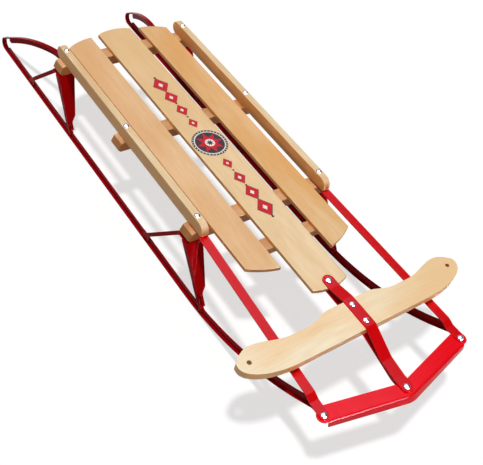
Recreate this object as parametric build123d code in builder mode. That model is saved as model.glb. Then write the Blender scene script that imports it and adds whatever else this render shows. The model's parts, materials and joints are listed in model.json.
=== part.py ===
"""Steerable runner sled: wooden deck, pressed steel standards, spring steel runners.

Frame: +X forward, +Y to the rider's left, +Z up, z = 0 at the ground under the
runners, x = 0 midway between the rear loops and the bumper. Units are millimetres.
"""
import os
from math import cos, radians, tan

from build123d import *

SIDES = {"left": 1, "right": -1}

# ---------------------------------------------------------------- clearances
seat_gap = 0.1          # between pieces that are bolted face to face
swing_gap = 0.3         # between flat pieces that turn on one rivet
pin_gap = 0.05          # radial, round a rivet or bolt that a piece turns on
link_play = 2.1         # radial, in the strut's hole at the open pivot
slot_play = 3.8         # each way along the slot in the runner's tab
slot_side_play = 0.6    # across that slot
flex_gap = 0.9          # half the split between fixed and flexing runner
recess_gap = 1.5        # behind the strut's round end, in the recess under the rail

# ---------------------------------------------------------------- runners
runner_y = 182.5        # runner's middle plane, over its straight length
tread_width = 12.0
tread_thick = 3.0
fin_thick = 3.0
runner_height = 17.0    # tread and fin together
rear_end_x = -683.5     # rearmost point of the loops
loop_radius = 15.6      # of the tread's middle line
loop_lean = 32.0        # degrees, of the branch that returns forward
branch_radius = 440.0
split_x = 296.0         # where the runner starts to flex sideways
rise_start_x = 216.0
rise_radius = 670.0
rise_angle = 33.0
tab_bend_radius = 18.0
tab_width = 18.0
fin_rear_x = -646.0     # where the lower fin starts
fin_front_x = 582.0     # where it ends in front
fin_sink = 0.5          # how far the fins are let into the tread
above_branch_z = 24.0   # between the lower fin's top and the branch
branch_start_x = -674.0         # the branch leaves the loop here
branch_turn = (-659.0, -479.0)  # where it bends inwards, and back to run straight
branch_turn_y = 140.5
branch_fin_x = -645.0           # its fin starts here and ends short of the beam
branch_fin_end_x = -410.0
branch_fin_height = 12.5
branch_screw_y = 138.5          # it is screwed up under the rear beam here
branch_tail = 12.0              # from that screw to its end

# ---------------------------------------------------------------- deck
beam_x = {"rear": -389.0, "middle": -110.0, "front": 175.0}
beam_width = 34.0
beam_height = 25.0
beam_half = 182.5
beam_top_z = 152.5
end_bevel_top = 7.5
end_bevel_side = 6.5
slat_thick = 9.0
centre_half = 44.2
centre_rear_x = -458.0
centre_front_x = 429.0
centre_end_rise = 9.5
side_inner_y = 66.0
side_outer_y = 134.5
side_rear_inner_x = -444.0
side_rear_mid_x = -438.5
side_rear_outer_x = -422.5
side_front_inner_x = 344.5
side_front_mid_x = 334.5
side_front_outer_x = 317.0
rail_y = 158.5
rail_width = 17.0
rail_height = 31.5
rail_rear_x = -418.5
rail_front_x = 211.0
rail_nose_radius = 21.0
rail_low_radius = 6.0
cleat_x = 276.0
cleat_width = 30.0
cleat_height = 18.0
cleat_half = 121.0
edge_round = 1.5

# ---------------------------------------------------------------- standards and braces
plate_thick = 2.5
plate_inner_y = 133.5
plate_lip = 3.0         # how far the top plate stands out ahead of the beam
leg_outer_y = 185.5
leg_inner_top_y = 145.0
leg_inner_low_y = 163.0
neck_inner_y = 172.5
leg_wide = 93.0         # along the slope, to where the leg starts to neck
leg_bend = 78.0         # along it, to where its outer edge turns out to the fork
fork_start = 97.0
neck_end = 105.0
leg_end = 109.0
leg_depth_top = 16.0
leg_depth_low = 13.0    # where it starts to neck
neck_depth = 6.0
fork_thick = 2.3
fork_width = 12.0
fork_lap = 5.0          # the fork's plates start this far above the neck's end
fork_flange_y = 174.0   # the inner one has a flange that stands in to here
fork_flange_end = 5.0   # and ends this far above the foot
foot_x = {"rear": -304.0, "front": 279.0}
foot_overlap = 7.0      # fork below the fin's top edge, to the rivet
foot_rivet_back = 1.0
lug_drop = 8.5          # from the plate down to the rivet in its lug
lug_outer_y = 170.0     # under the plate, inboard of the beam's end
lug_back = 27.0         # from the beam's middle back to the lug's edge
lug_length = 24.0
lug_height = 15.0
brace_lug = 21.0        # from the beam's middle back to the brace's rivet
brace_tip = 5.0         # the brace goes on past it
brace_width = 9.5
brace_thick = 2.3
brace_bend = 12.0       # radius of its two bends, seen from above
brace_back = {"rear": 121.0, "front": 117.0}    # from beam to brace foot
brace_tab = 26.0
brace_tab_height = 17.0
brace_tab_round = 4.0
brace_tab_drop = 2.0    # the tab's middle below the fin's top edge
brace_rivet_drop = 6.0  # and the rivet in it

# ---------------------------------------------------------------- steering gear
strap_width = 26.0
strap_thick = 3.0
strap_bends = [14.0, 14.0, 5.0, 8.0, 30.0]  # radii, from the pivot forward
pivot_x = 413.6
bar_rivet_x = (483.6, 525.0)
bar_thick = 17.0
bar_top_z = 169.5
bar_rear_x = 472.0
bar_front_x = 541.0
grip_rear_x = 485.5
horn_rear_x = 470.5         # behind the rope hole, where the bar is widest
bar_tip_x = 497.5
bar_half = 278.0
bar_straight = 50.0         # half the straight length behind
grip_start = 108.0
grip_end = 150.0
horn_y = 238.0
bar_shoulder = 165.0        # half the straight length in front
bar_round = 4.0
rope_hole_x = 497.5
rope_hole_y = 254.0
rope_hole_radius = 4.5
bumper_rivet_x = 661.5
link_rivet_x = 632.0
link_rivet_y = 177.5
bumper_thick = 2.5
bumper_top_z = 132.0
bumper_crease_x = 680.0     # where the creases of the two halves would meet
bumper_front_x = 688.5      # and where their lips' lower edges would
bumper_end_crease_x = 647.0
bumper_end_front_x = 650.0
bumper_end_y = 176.0
bumper_width = 37.5         # along x, from the lip's lower edge
bumper_drop = 13.5
bumper_wall = 2.2           # the lip's thickness along x
bumper_round = 2.5
bumper_apex_radius = 60.0
bumper_end_radius = 13.5
strut_width = 20.4
strut_thick = 2.5
strut_level = 26.0         # from its rear bolt, before it slopes down
strut_slope_end = (588.0, 139.6)
strut_step_x = 602.0
strut_root_half = 8.0       # half its width under the rail
strut_root_short = 6.0      # it widens this far short of the rail's nose

# ---------------------------------------------------------------- fasteners
bolt_radius = 3.0
bolt_head_radius = 6.5
bolt_head_height = 3.2
nut_radius = 5.5
nut_height = 4.0
rivet_radius = 3.5
link_pin_radius = 3.0
link_foot_radius = 8.5  # covers the slot in the runner's tab
rivet_head_radius = 6.3
rivet_head_height = 2.6
pivot_radius = 4.0
pivot_head_radius = 7.0
small_rivet_radius = 2.0
small_head_radius = 3.6
small_head_height = 1.5
screw_depth = 14.0
screw_head_radius = 5.5
screw_head_height = 2.5

# ---------------------------------------------------------------- worked out
slat_top_z = beam_top_z + slat_thick
rail_top_z = beam_top_z + rail_height
beam_bottom_z = beam_top_z - beam_height
plate_top_z = beam_bottom_z - seat_gap
plate_bottom_z = plate_top_z - plate_thick
tread_mid_z = tread_thick / 2
branch_end_z = plate_bottom_z - seat_gap - tread_thick / 2
bar_bottom_z = bar_top_z - bar_thick
strut_end_z = bumper_top_z + swing_gap + strut_thick / 2
strut_root_z = beam_top_z + swing_gap + strut_thick / 2
tab_mid_z = bumper_top_z - bumper_thick - swing_gap - tread_thick / 2
WIDE = 400.0            # more than half of anything's size, for cutting blanks

os.makedirs("parts", exist_ok=True)


def write(part, name):
    """Label one finished piece and write it as its own STEP file."""
    part.label = name
    export_step(part, f"parts/{name}.step")


def strip(points, radii, width):
    """A face of constant width along a path of straight runs and tangent arcs."""
    with BuildSketch(mode=Mode.PRIVATE) as face:
        with BuildLine():
            if radii:
                FilletPolyline(*points, radius=radii)
            else:
                Polyline(*points)
            offset(amount=width / 2, side=Side.BOTH)
        make_face()
    return face.sketch


def bent_bar(side_path, side_radii, thick, plan_path, plan_radii, width):
    """A flat bar with round ends: bent in side view, and led sideways in plan."""
    first, last = side_path[0], side_path[-1]
    longer = [(first[0] - width, first[1]), *side_path[1:-1], (last[0] + width, last[1])]
    with BuildPart() as bar:
        with BuildSketch(Plane.XZ):
            add(strip(longer, side_radii, thick))
        extrude(amount=WIDE, both=True)
        with BuildSketch(Plane.XY):
            add(strip(plan_path, plan_radii, width))
        extrude(amount=WIDE, both=True, mode=Mode.INTERSECT)
    return bar.part


def dome(radius, height):
    """Radius of the sphere whose cap has this foot radius and height."""
    return (radius**2 + height**2) / (2 * height)


def pin(x, y, low_z, high_z, radius, head_radius, head_height, foot_radius=0):
    """An upright pin with a domed head on top, and a flat foot below or else a nut."""
    with BuildPart() as made:
        with BuildSketch(Plane.XY.offset(low_z)):
            with Locations((x, y)):
                Circle(radius)
        extrude(amount=high_z - low_z)
        ball = dome(head_radius, head_height)
        with BuildSketch(Plane(origin=(x, y, high_z), x_dir=(1, 0, 0), z_dir=(0, -1, 0))):
            with BuildLine():
                Polyline((0, head_height), (0, 0), (head_radius, 0))
                RadiusArc((head_radius, 0), (0, head_height), -ball)
            make_face()
        revolve(axis=Axis((x, y, high_z), (0, 0, 1)))
        with BuildSketch(Plane.XY.offset(low_z)):
            with Locations((x, y)):
                if foot_radius:
                    Circle(foot_radius)
                else:
                    RegularPolygon(nut_radius, 6)
        extrude(amount=-(head_height / 2 if foot_radius else nut_height))
    return made.part


def cross_rivet(x, z, near_y, far_y):
    """A small rivet across the sled, with a head at each end."""
    with BuildPart() as made:
        with BuildSketch(Plane.XZ.offset(-near_y)):
            with Locations((x, z)):
                Circle(small_rivet_radius)
        extrude(amount=near_y - far_y)
        for face_y, outward in ((near_y, 1), (far_y, -1)):
            with BuildSketch(Plane.XZ.offset(-face_y)):
                with Locations((x, z)):
                    Circle(small_head_radius)
            extrude(amount=-outward * small_head_height)
    return made.part


# ================================================================ wooden deck
def end_arc(inner_x, middle_x, outer_x):
    """The curved end of a side slat, from its inner to its outer edge."""
    middle_y = (side_inner_y + side_outer_y) / 2
    return ThreePointArc((inner_x, side_inner_y), (middle_x, middle_y), (outer_x, side_outer_y))


with BuildPart() as slat_centre:
    with BuildSketch(Plane.XY.offset(beam_top_z)):
        with BuildLine():
            rear_corner_x = centre_rear_x + centre_end_rise
            front_corner_x = centre_front_x - centre_end_rise
            Line((rear_corner_x, -centre_half), (front_corner_x, -centre_half))
            ThreePointArc((front_corner_x, -centre_half), (centre_front_x, 0), (front_corner_x, centre_half))
            Line((front_corner_x, centre_half), (rear_corner_x, centre_half))
            ThreePointArc((rear_corner_x, centre_half), (centre_rear_x, 0), (rear_corner_x, -centre_half))
        make_face()
    extrude(amount=slat_thick)
    fillet(slat_centre.faces().sort_by(Axis.Z)[-1].edges(), radius=edge_round)
    with Locations((pivot_x, 0, slat_top_z)):
        Hole(radius=pivot_radius + pin_gap)
write(slat_centre.part, "slat_centre")

with BuildPart() as side_slat:
    with BuildSketch(Plane.XY.offset(beam_top_z)):
        with BuildLine():
            Line((side_rear_inner_x, side_inner_y), (side_front_inner_x, side_inner_y))
            end_arc(side_front_inner_x, side_front_mid_x, side_front_outer_x)
            Line((side_front_outer_x, side_outer_y), (side_rear_outer_x, side_outer_y))
            end_arc(side_rear_inner_x, side_rear_mid_x, side_rear_outer_x)
        make_face()
    extrude(amount=slat_thick)
    fillet(side_slat.faces().sort_by(Axis.Z)[-1].edges(), radius=edge_round)

for side, sign in SIDES.items():
    with BuildPart() as slat:
        add(side_slat.part if sign > 0 else mirror(side_slat.part, about=Plane.XZ, mode=Mode.PRIVATE))
    write(slat.part, f"slat_{side}")

rail_end = rail_height / 2
recess_x = beam_x["front"] - strut_width / 2 - recess_gap
recess_z = beam_top_z + strut_thick + 2 * swing_gap
for side, sign in SIDES.items():
    with BuildPart() as rail:
        with BuildSketch(Plane.XZ.offset(-sign * rail_y)):
            with BuildLine():
                Polyline(
                    (rail_rear_x + rail_end, beam_top_z),
                    (recess_x, beam_top_z),
                    (recess_x, recess_z),
                    (rail_front_x, recess_z),
                    (rail_front_x, rail_top_z),
                    (rail_rear_x + rail_end, rail_top_z),
                )
                ThreePointArc(
                    (rail_rear_x + rail_end, rail_top_z),
                    (rail_rear_x, beam_top_z + rail_end),
                    (rail_rear_x + rail_end, beam_top_z),
                )
            make_face()
            rail_nose = vertices().group_by(Axis.X)[-1].sort_by(Axis.Y)
            fillet(rail_nose[-1], radius=rail_nose_radius)
            fillet(vertices().group_by(Axis.X)[-1].sort_by(Axis.Y)[0], radius=rail_low_radius)
        extrude(amount=rail_width / 2, both=True)
        fillet(rail.faces().sort_by(Axis.Z)[-1].edges().filter_by(Axis.X), radius=edge_round)
        with Locations(*[(x, sign * rail_y, rail_top_z) for x in beam_x.values()]):
            Hole(radius=bolt_radius + pin_gap)
    write(rail.part, f"rail_{side}")

for place, x in beam_x.items():
    with BuildPart() as beam:
        with BuildSketch(Plane.YZ.offset(x)):
            with BuildLine():
                half = Polyline(
                    (0, beam_top_z),
                    (beam_half - end_bevel_side - end_bevel_top, beam_top_z),
                    (beam_half - end_bevel_side, beam_top_z - end_bevel_top / 3),
                    (beam_half, beam_bottom_z + end_bevel_side),
                    (beam_half - end_bevel_side, beam_bottom_z),
                    (0, beam_bottom_z),
                )
                mirror(half, about=Plane.YZ)
            make_face()
        extrude(amount=beam_width / 2, both=True)
        with Locations(*[(x, sign * rail_y, beam_top_z) for sign in SIDES.values()]):
            Hole(radius=bolt_radius + pin_gap)
        if place == "rear":
            with Locations(*[(x, sign * branch_screw_y, beam_bottom_z) for sign in SIDES.values()]):
                Hole(radius=bolt_radius + pin_gap, depth=screw_depth + pin_gap)
    write(beam.part, f"beam_{place}")

with BuildPart() as cleat_front:
    with Locations((cleat_x, 0, beam_top_z)):
        Box(cleat_width, 2 * cleat_half, cleat_height, align=(Align.CENTER, Align.CENTER, Align.MAX))
    fillet(cleat_front.faces().sort_by(Axis.Z)[0].edges(), radius=edge_round)
write(cleat_front.part, "cleat_front")


# ================================================================ runner path
lean = radians(loop_lean)
rise = radians(rise_angle)
loop_turn = radians(180 - loop_lean)
loop_centre_x = rear_end_x + loop_radius + tread_thick / 2
loop_corner_x = loop_centre_x - loop_radius * tan(loop_turn / 2)
branch_corner_x = loop_corner_x + (branch_end_z - tread_mid_z) / tan(lean)
rise_corner_x = rise_start_x + rise_radius * tan(rise / 2)
tab_corner_x = rise_corner_x + (tab_mid_z - tread_mid_z) / tan(rise)
branch_end_x = beam_x["rear"] + branch_tail
runner_path = [
    (branch_end_x, branch_end_z),
    (branch_corner_x, branch_end_z),
    (loop_corner_x, tread_mid_z),
    (rise_corner_x, tread_mid_z),
    (tab_corner_x, tab_mid_z),
    (link_rivet_x + 2 * tab_width, tab_mid_z),
]
runner_radii = [branch_radius, loop_radius, rise_radius, tab_bend_radius]

# seen from above, the branch leads in to its screw under the rear beam
branch_plan = [
    (rear_end_x - 30, runner_y),
    (branch_turn[0], runner_y),
    (branch_turn[1], branch_turn_y),
    (branch_end_x, branch_screw_y - 1.0),
]
branch_plan_radii = [60.0, 150.0]
fin_height = runner_height - tread_thick
front_plan = [(rear_end_x - 30, runner_y), (split_x, runner_y), (link_rivet_x, link_rivet_y)]
front_plan_radii = [400.0]


def tread_rise_z(x):
    """Height of the tread's middle line on the rising arc in front."""
    if x <= rise_start_x:
        return tread_mid_z
    drop = (rise_radius**2 - (x - rise_start_x) ** 2) ** 0.5
    return tread_mid_z + rise_radius - drop


def fin_top_z(x):
    """Height of the fin's top edge, as far forward as the split."""
    return tread_rise_z(x) + runner_height - tread_thick / 2


# ================================================================ standards and braces
plate_outer_y = runner_y + fin_thick / 2
brace_inner_y = plate_outer_y + seat_gap
lug_rivet_z = plate_bottom_z - lug_drop


def standard(place):
    """A left standard: plate under the beam, channel leg leaning forward, forked foot."""
    x = beam_x[place]
    front_x = x + beam_width / 2 + plate_lip
    top = Vector(front_x, 0, plate_bottom_z)
    foot_top_z = fin_top_z(foot_x[place])
    slope = (Vector(foot_x[place], 0, foot_top_z) - top).normalized()
    outward = Vector(-slope.Z, 0, slope.X)
    leg_plane = Plane(origin=top, x_dir=slope, z_dir=outward)
    front_low = top + slope * leg_end
    back_wide = top + slope * leg_wide - outward * leg_depth_low
    back_low = front_low - outward * neck_depth
    back_top_x = front_x - leg_depth_top / outward.X
    rivet = (foot_x[place] - foot_rivet_back, foot_top_z - foot_overlap)
    foot_length = (Vector(rivet[0], 0, rivet[1]) - top).dot(slope)
    fork_top = top + slope * (neck_end - fork_lap) - outward * fork_width / 2
    fork_inner_y = runner_y - fin_thick / 2 - seat_gap
    fork_outer_y = brace_inner_y + fork_thick
    above = -30.0       # above the plate, where the side view trims the leg
    wall = plate_thick
    with BuildPart() as made:
        with BuildSketch(leg_plane):
            with BuildLine():
                Polyline(
                    (above, leg_inner_top_y),
                    (0, leg_inner_top_y),
                    (leg_wide, leg_inner_low_y),
                    (neck_end, neck_inner_y),
                    (leg_end, fork_flange_y),
                    (leg_end, fork_outer_y),
                    (fork_start, fork_outer_y),
                    (leg_bend, leg_outer_y),
                    (above, leg_outer_y),
                    close=True,
                )
            make_face()
        extrude(amount=WIDE, both=True)
        with BuildSketch(Plane.XZ):
            with BuildLine():
                Polyline(
                    (front_x, plate_bottom_z),
                    (front_low.X, front_low.Z),
                    (back_low.X, back_low.Z),
                    (back_wide.X, back_wide.Z),
                    (back_top_x, plate_bottom_z),
                    close=True,
                )
            make_face()
        extrude(amount=WIDE, both=True, mode=Mode.INTERSECT)
        with BuildSketch(leg_plane.offset(-wall)):
            with BuildLine():
                Polyline(
                    (above, leg_inner_top_y + wall),
                    (0, leg_inner_top_y + wall),
                    (leg_wide, leg_inner_low_y + wall),
                    (leg_end + 1, neck_inner_y + wall + 1),
                    (leg_end + 1, leg_outer_y - wall),
                    (above, leg_outer_y - wall),
                    close=True,
                )
            make_face()
        extrude(amount=-WIDE, mode=Mode.SUBTRACT)
        with BuildSketch(leg_plane):
            with BuildLine():
                Polyline(
                    (neck_end - fork_lap, fork_flange_y),
                    (foot_length - fork_flange_end, fork_flange_y),
                    (foot_length - fork_flange_end, fork_inner_y),
                    (neck_end - fork_lap, fork_inner_y),
                    close=True,
                )
            make_face()
        extrude(amount=-fork_thick)
        with BuildSketch(Plane.XY.offset(plate_bottom_z)):
            with BuildLine():
                Polyline(
                    (x - beam_width / 2 + 1, plate_inner_y),
                    (front_x, plate_inner_y),
                    (front_x, plate_outer_y),
                    (x - beam_width / 2 + 1, plate_outer_y),
                    close=True,
                )
            make_face()
        extrude(amount=plate_thick)
        with Locations((x - lug_back, lug_outer_y, plate_top_z)):
            Box(lug_length, plate_thick, lug_height, align=(Align.MIN, Align.MAX, Align.MAX))
        for outer_y in (fork_outer_y, fork_inner_y):
            with BuildSketch(Plane.XZ.offset(-outer_y)):
                add(strip([(fork_top.X, fork_top.Z), rivet], None, fork_width))
            extrude(amount=fork_thick)
        with Locations((x, rail_y, plate_top_z)):
            Hole(radius=bolt_radius + pin_gap)
        if place == "rear":
            with Locations((x, branch_screw_y, plate_top_z)):
                Hole(radius=bolt_radius + pin_gap)
        with Locations(Plane(origin=(rivet[0], brace_inner_y, rivet[1]), z_dir=(0, 1, 0))):
            Hole(radius=small_rivet_radius + pin_gap, depth=2 * fork_width)
        with Locations(Plane(origin=(x - brace_lug, lug_outer_y, lug_rivet_z), z_dir=(0, 1, 0))):
            Hole(radius=small_rivet_radius + pin_gap, depth=2 * plate_thick)
    return made.part


def brace(place):
    """A left brace: a strip on edge from a tab on the fin in to the standard's lug."""
    foot = Vector(beam_x[place] - brace_back[place], 0, runner_height)
    lug = Vector(beam_x[place] - brace_lug, 0, lug_rivet_z)
    tip = lug + (lug - foot).normalized() * brace_tip
    foot_y = brace_inner_y + brace_thick / 2
    lug_y = lug_outer_y + seat_gap + brace_thick / 2
    flat = brace_tab / 2
    with BuildPart() as made:
        with BuildSketch(Plane.XZ):
            add(strip([(tip.X, tip.Z), (foot.X, foot.Z)], None, brace_width))
            with Locations((foot.X, runner_height - brace_tab_drop)):
                RectangleRounded(brace_tab, brace_tab_height, brace_tab_round)
        extrude(amount=WIDE, both=True)
        with BuildSketch(Plane.XY):
            plan = [(foot.X - flat, foot_y), (foot.X + flat, foot_y), (lug.X - flat, lug_y), (lug.X + flat, lug_y)]
            add(strip(plan, [brace_bend, brace_bend], brace_thick))
        extrude(amount=WIDE, both=True, mode=Mode.INTERSECT)
        for hole_x, hole_y, hole_z in (
            (lug.X, lug_y, lug.Z),
            (foot.X, foot_y, runner_height - brace_rivet_drop),
        ):
            with Locations(Plane(origin=(hole_x, hole_y, hole_z), z_dir=(0, 1, 0))):
                Hole(radius=small_rivet_radius + pin_gap, depth=2 * brace_thick)
    return made.part


def mirrored(part, sign):
    """The left piece itself, or its mirror image for the right side."""
    return part if sign > 0 else mirror(part, about=Plane.XZ)


for place in ("rear", "front"):
    left_standard = standard(place)
    left_brace = brace(place)
    foot_rivet_z = fin_top_z(foot_x[place]) - foot_overlap
    fork_rivet = cross_rivet(
        foot_x[place] - foot_rivet_back,
        foot_rivet_z,
        brace_inner_y + fork_thick,
        runner_y - fin_thick / 2 - seat_gap - fork_thick,
    )
    brace_rivets = [
        cross_rivet(
            beam_x[place] - brace_lug,
            lug_rivet_z,
            lug_outer_y + seat_gap + brace_thick,
            lug_outer_y - plate_thick,
        ),
        cross_rivet(
            beam_x[place] - brace_back[place],
            runner_height - brace_rivet_drop,
            brace_inner_y + brace_thick,
            runner_y - fin_thick / 2,
        ),
    ]
    for side, sign in SIDES.items():
        write(mirrored(left_standard, sign), f"standard_{place}_{side}")
        write(mirrored(left_brace, sign), f"brace_{place}_{side}")
        write(mirrored(fork_rivet, sign), f"standard_rivet_{place}_{side}")
        write(mirrored(brace_rivets[0], sign), f"brace_rivet_{place}_{side}")
        write(mirrored(brace_rivets[1], sign), f"brace_foot_rivet_{place}_{side}")


# ================================================================ runners
with BuildPart() as tread:
    with BuildSketch(Plane.XZ):
        add(strip(runner_path, runner_radii, tread_thick))
    extrude(amount=WIDE, both=True)
    with BuildSketch(Plane.XY):
        add(strip(front_plan, front_plan_radii, tread_width))
        with Locations((link_rivet_x, link_rivet_y)):
            Circle(tab_width / 2)
    extrude(amount=WIDE, both=True, mode=Mode.INTERSECT)
    with BuildSketch(Plane.XZ):
        with Locations((branch_start_x, above_branch_z)):
            Rectangle(WIDE, WIDE, align=(Align.MIN, Align.MIN))
    extrude(amount=WIDE, both=True, mode=Mode.SUBTRACT)

with BuildPart() as branch:
    with BuildSketch(Plane.XZ):
        add(strip(runner_path, runner_radii, tread_thick))
    extrude(amount=WIDE, both=True)
    with BuildSketch(Plane.XY):
        add(strip(branch_plan, branch_plan_radii, tread_width))
    extrude(amount=WIDE, both=True, mode=Mode.INTERSECT)
    with BuildSketch(Plane.XZ):
        with Locations((branch_start_x - 1, above_branch_z)):
            Rectangle(WIDE, WIDE, align=(Align.MIN, Align.MIN))
    extrude(amount=WIDE, both=True, mode=Mode.INTERSECT)

with BuildPart() as branch_fin:
    branch_shift = (branch_fin_height + tread_thick - fin_sink) / 2
    branch_low_z = branch_end_z - branch_shift
    corner_x = branch_corner_x + branch_shift * tan(lean / 2)
    branch_back_z = branch_low_z - (corner_x - branch_fin_x) * tan(lean)
    with BuildSketch(Plane.XZ):
        fin_path = [(branch_fin_x, branch_back_z), (corner_x, branch_low_z), (branch_end_x, branch_low_z)]
        add(strip(fin_path, [branch_radius - branch_shift], branch_fin_height + fin_sink))
    extrude(amount=WIDE, both=True)
    with BuildSketch(Plane.XY):
        add(strip(branch_plan, branch_plan_radii, fin_thick))
    extrude(amount=WIDE, both=True, mode=Mode.INTERSECT)
    with Locations((branch_fin_end_x, 0, 0)):
        Box(WIDE, WIDE, WIDE, align=(Align.MIN, Align.CENTER, Align.CENTER), mode=Mode.SUBTRACT)

with BuildPart() as low_fin:
    fin_shift = (fin_height + tread_thick - fin_sink) / 2
    rise_low_x = rise_corner_x - fin_shift * tan(rise / 2)
    fin_mid_z = tread_mid_z + fin_shift
    fin_end_z = fin_mid_z + (fin_front_x - rise_low_x) * tan(rise)
    with BuildSketch(Plane.XZ):
        fin_path = [(fin_rear_x, fin_mid_z), (rise_low_x, fin_mid_z), (fin_front_x, fin_end_z)]
        add(strip(fin_path, [rise_radius - fin_shift], fin_height + fin_sink))
    extrude(amount=WIDE, both=True)
    with BuildSketch(Plane.XY):
        add(strip(front_plan, front_plan_radii, fin_thick))
    extrude(amount=WIDE, both=True, mode=Mode.INTERSECT)

with BuildPart() as runner_fixed:
    add(tread.part)
    add(branch.part)
    add(branch_fin.part)
    add(low_fin.part)
    with Locations((split_x - flex_gap, 0, 0)):
        Box(2 * WIDE, 2 * WIDE, 2 * WIDE, align=(Align.MIN, Align.CENTER, Align.CENTER), mode=Mode.SUBTRACT)
    with Locations((beam_x["rear"], branch_screw_y, branch_end_z + tread_thick / 2)):
        Hole(radius=bolt_radius + pin_gap)
    rivet_spots = [(x - foot_rivet_back, fin_top_z(x) - foot_overlap) for x in foot_x.values()]
    brace_foot_z = runner_height - brace_rivet_drop
    rivet_spots += [(beam_x[place] - brace_back[place], brace_foot_z) for place in brace_back]
    for x, z in rivet_spots:
        with Locations(Plane(origin=(x, runner_y, z), z_dir=(0, 1, 0))):
            Hole(radius=small_rivet_radius + pin_gap, depth=fork_width)

with BuildPart() as runner_flexing:
    add(tread.part)
    add(low_fin.part)
    with Locations((split_x + flex_gap, 0, 0)):
        Box(3 * WIDE, 2 * WIDE, 2 * WIDE, align=(Align.MAX, Align.CENTER, Align.CENTER), mode=Mode.SUBTRACT)
    with BuildSketch(Plane.XY.offset(tab_mid_z - tread_thick / 2)):
        with Locations((link_rivet_x, link_rivet_y)):
            SlotOverall(2 * (link_pin_radius + slot_play), 2 * (link_pin_radius + slot_side_play))
    extrude(amount=tread_thick, mode=Mode.SUBTRACT)

for side, sign in SIDES.items():
    write(mirrored(runner_fixed.part, sign), f"runner_{side}")
    write(mirrored(runner_flexing.part, sign), f"runner_front_{side}")


# ================================================================ steering gear
strap_top_z = slat_top_z + swing_gap + strap_thick / 2
strap_bar_z = bar_top_z + strap_thick / 2
strap_nose_z = bumper_top_z + swing_gap + strap_thick / 2
upper_path = [
    (pivot_x, strap_top_z),
    (433.0, strap_top_z),
    (bar_rear_x - 3, strap_bar_z),
    (bar_front_x - bar_round + 2, strap_bar_z),
    (600.0, 140.3),
    (640.0, strap_nose_z),
    (bumper_rivet_x, strap_nose_z),
]
strap_low_z = beam_top_z - swing_gap - strap_thick / 2
strap_tail_z = bumper_top_z - bumper_thick - swing_gap - strap_thick / 2
lower_path = [
    (pivot_x, strap_low_z),
    (bar_front_x - 1, strap_low_z),
    (634.0, strap_tail_z),
    (bumper_rivet_x, strap_tail_z),
]
strap_plan = [(pivot_x, 0), (bumper_rivet_x, 0)]
upper_blank = bent_bar(upper_path, strap_bends, strap_thick, strap_plan, None, strap_width)
lower_blank = bent_bar(lower_path, [40, 12], strap_thick, strap_plan, None, strap_width)

for name, blank in (("strap_upper", upper_blank), ("strap_lower", lower_blank)):
    with BuildPart() as strap:
        add(blank)
        with Locations((pivot_x, 0, beam_top_z)):
            Hole(radius=pivot_radius + pin_gap)
        with Locations(*[(x, 0, beam_top_z) for x in (*bar_rivet_x, bumper_rivet_x)]):
            Hole(radius=rivet_radius + pin_gap)
    write(strap.part, name)

with BuildPart() as steering_bar:
    with BuildSketch(Plane.XY.offset(bar_bottom_z)):
        with BuildLine():
            right_half = [
                Line((bar_rear_x, 0), (bar_rear_x, bar_straight)),
                Spline((bar_rear_x, bar_straight), (grip_rear_x, grip_start), tangents=((0, 1), (0, 1))),
                Line((grip_rear_x, grip_start), (grip_rear_x, grip_end)),
                Spline((grip_rear_x, grip_end), (horn_rear_x, horn_y), tangents=((0, 1), (0, 1))),
                Spline((horn_rear_x, horn_y), (bar_tip_x, bar_half), tangents=((0, 1), (1, 0))),
                EllipticalCenterArc(
                    (bar_tip_x, bar_shoulder),
                    bar_front_x - bar_tip_x,
                    bar_half - bar_shoulder,
                    arc_size=90,
                ),
                Line((bar_front_x, bar_shoulder), (bar_front_x, 0)),
            ]
            mirror(right_half, about=Plane.XZ)
        make_face()
    extrude(amount=bar_thick)
    outline = steering_bar.faces().filter_by(Axis.Z).edges()
    fillet(outline, radius=bar_round)
    with Locations(*[(rope_hole_x, sign * rope_hole_y, bar_top_z) for sign in SIDES.values()]):
        Hole(radius=rope_hole_radius)
    with Locations(*[(x, 0, bar_top_z) for x in bar_rivet_x]):
        Hole(radius=rivet_radius + pin_gap)
write(steering_bar.part, "steering_bar")

def bumper_plan(apex_x, end_x, level):
    """The bumper seen from above, with its front line as it runs at one level."""
    back_apex_x = bumper_front_x - bumper_width
    back_end_x = bumper_end_front_x - bumper_width
    with BuildSketch(Plane.XY.offset(level), mode=Mode.PRIVATE) as plan:
        with BuildLine():
            FilletPolyline(
                (end_x, -bumper_end_y), (apex_x, 0), (end_x, bumper_end_y), radius=bumper_apex_radius
            )
            Line((end_x, bumper_end_y), (back_end_x, bumper_end_y))
            FilletPolyline(
                (back_end_x, bumper_end_y),
                (back_apex_x, 0),
                (back_end_x, -bumper_end_y),
                radius=bumper_apex_radius,
            )
            Line((back_end_x, -bumper_end_y), (end_x, -bumper_end_y))
        make_face()
    return plan.sketch


with BuildPart() as lip_block:
    add(bumper_plan(bumper_crease_x, bumper_end_crease_x, bumper_top_z))
    add(bumper_plan(bumper_front_x, bumper_end_front_x, bumper_top_z - bumper_drop))
    loft(ruled=True)

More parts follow.
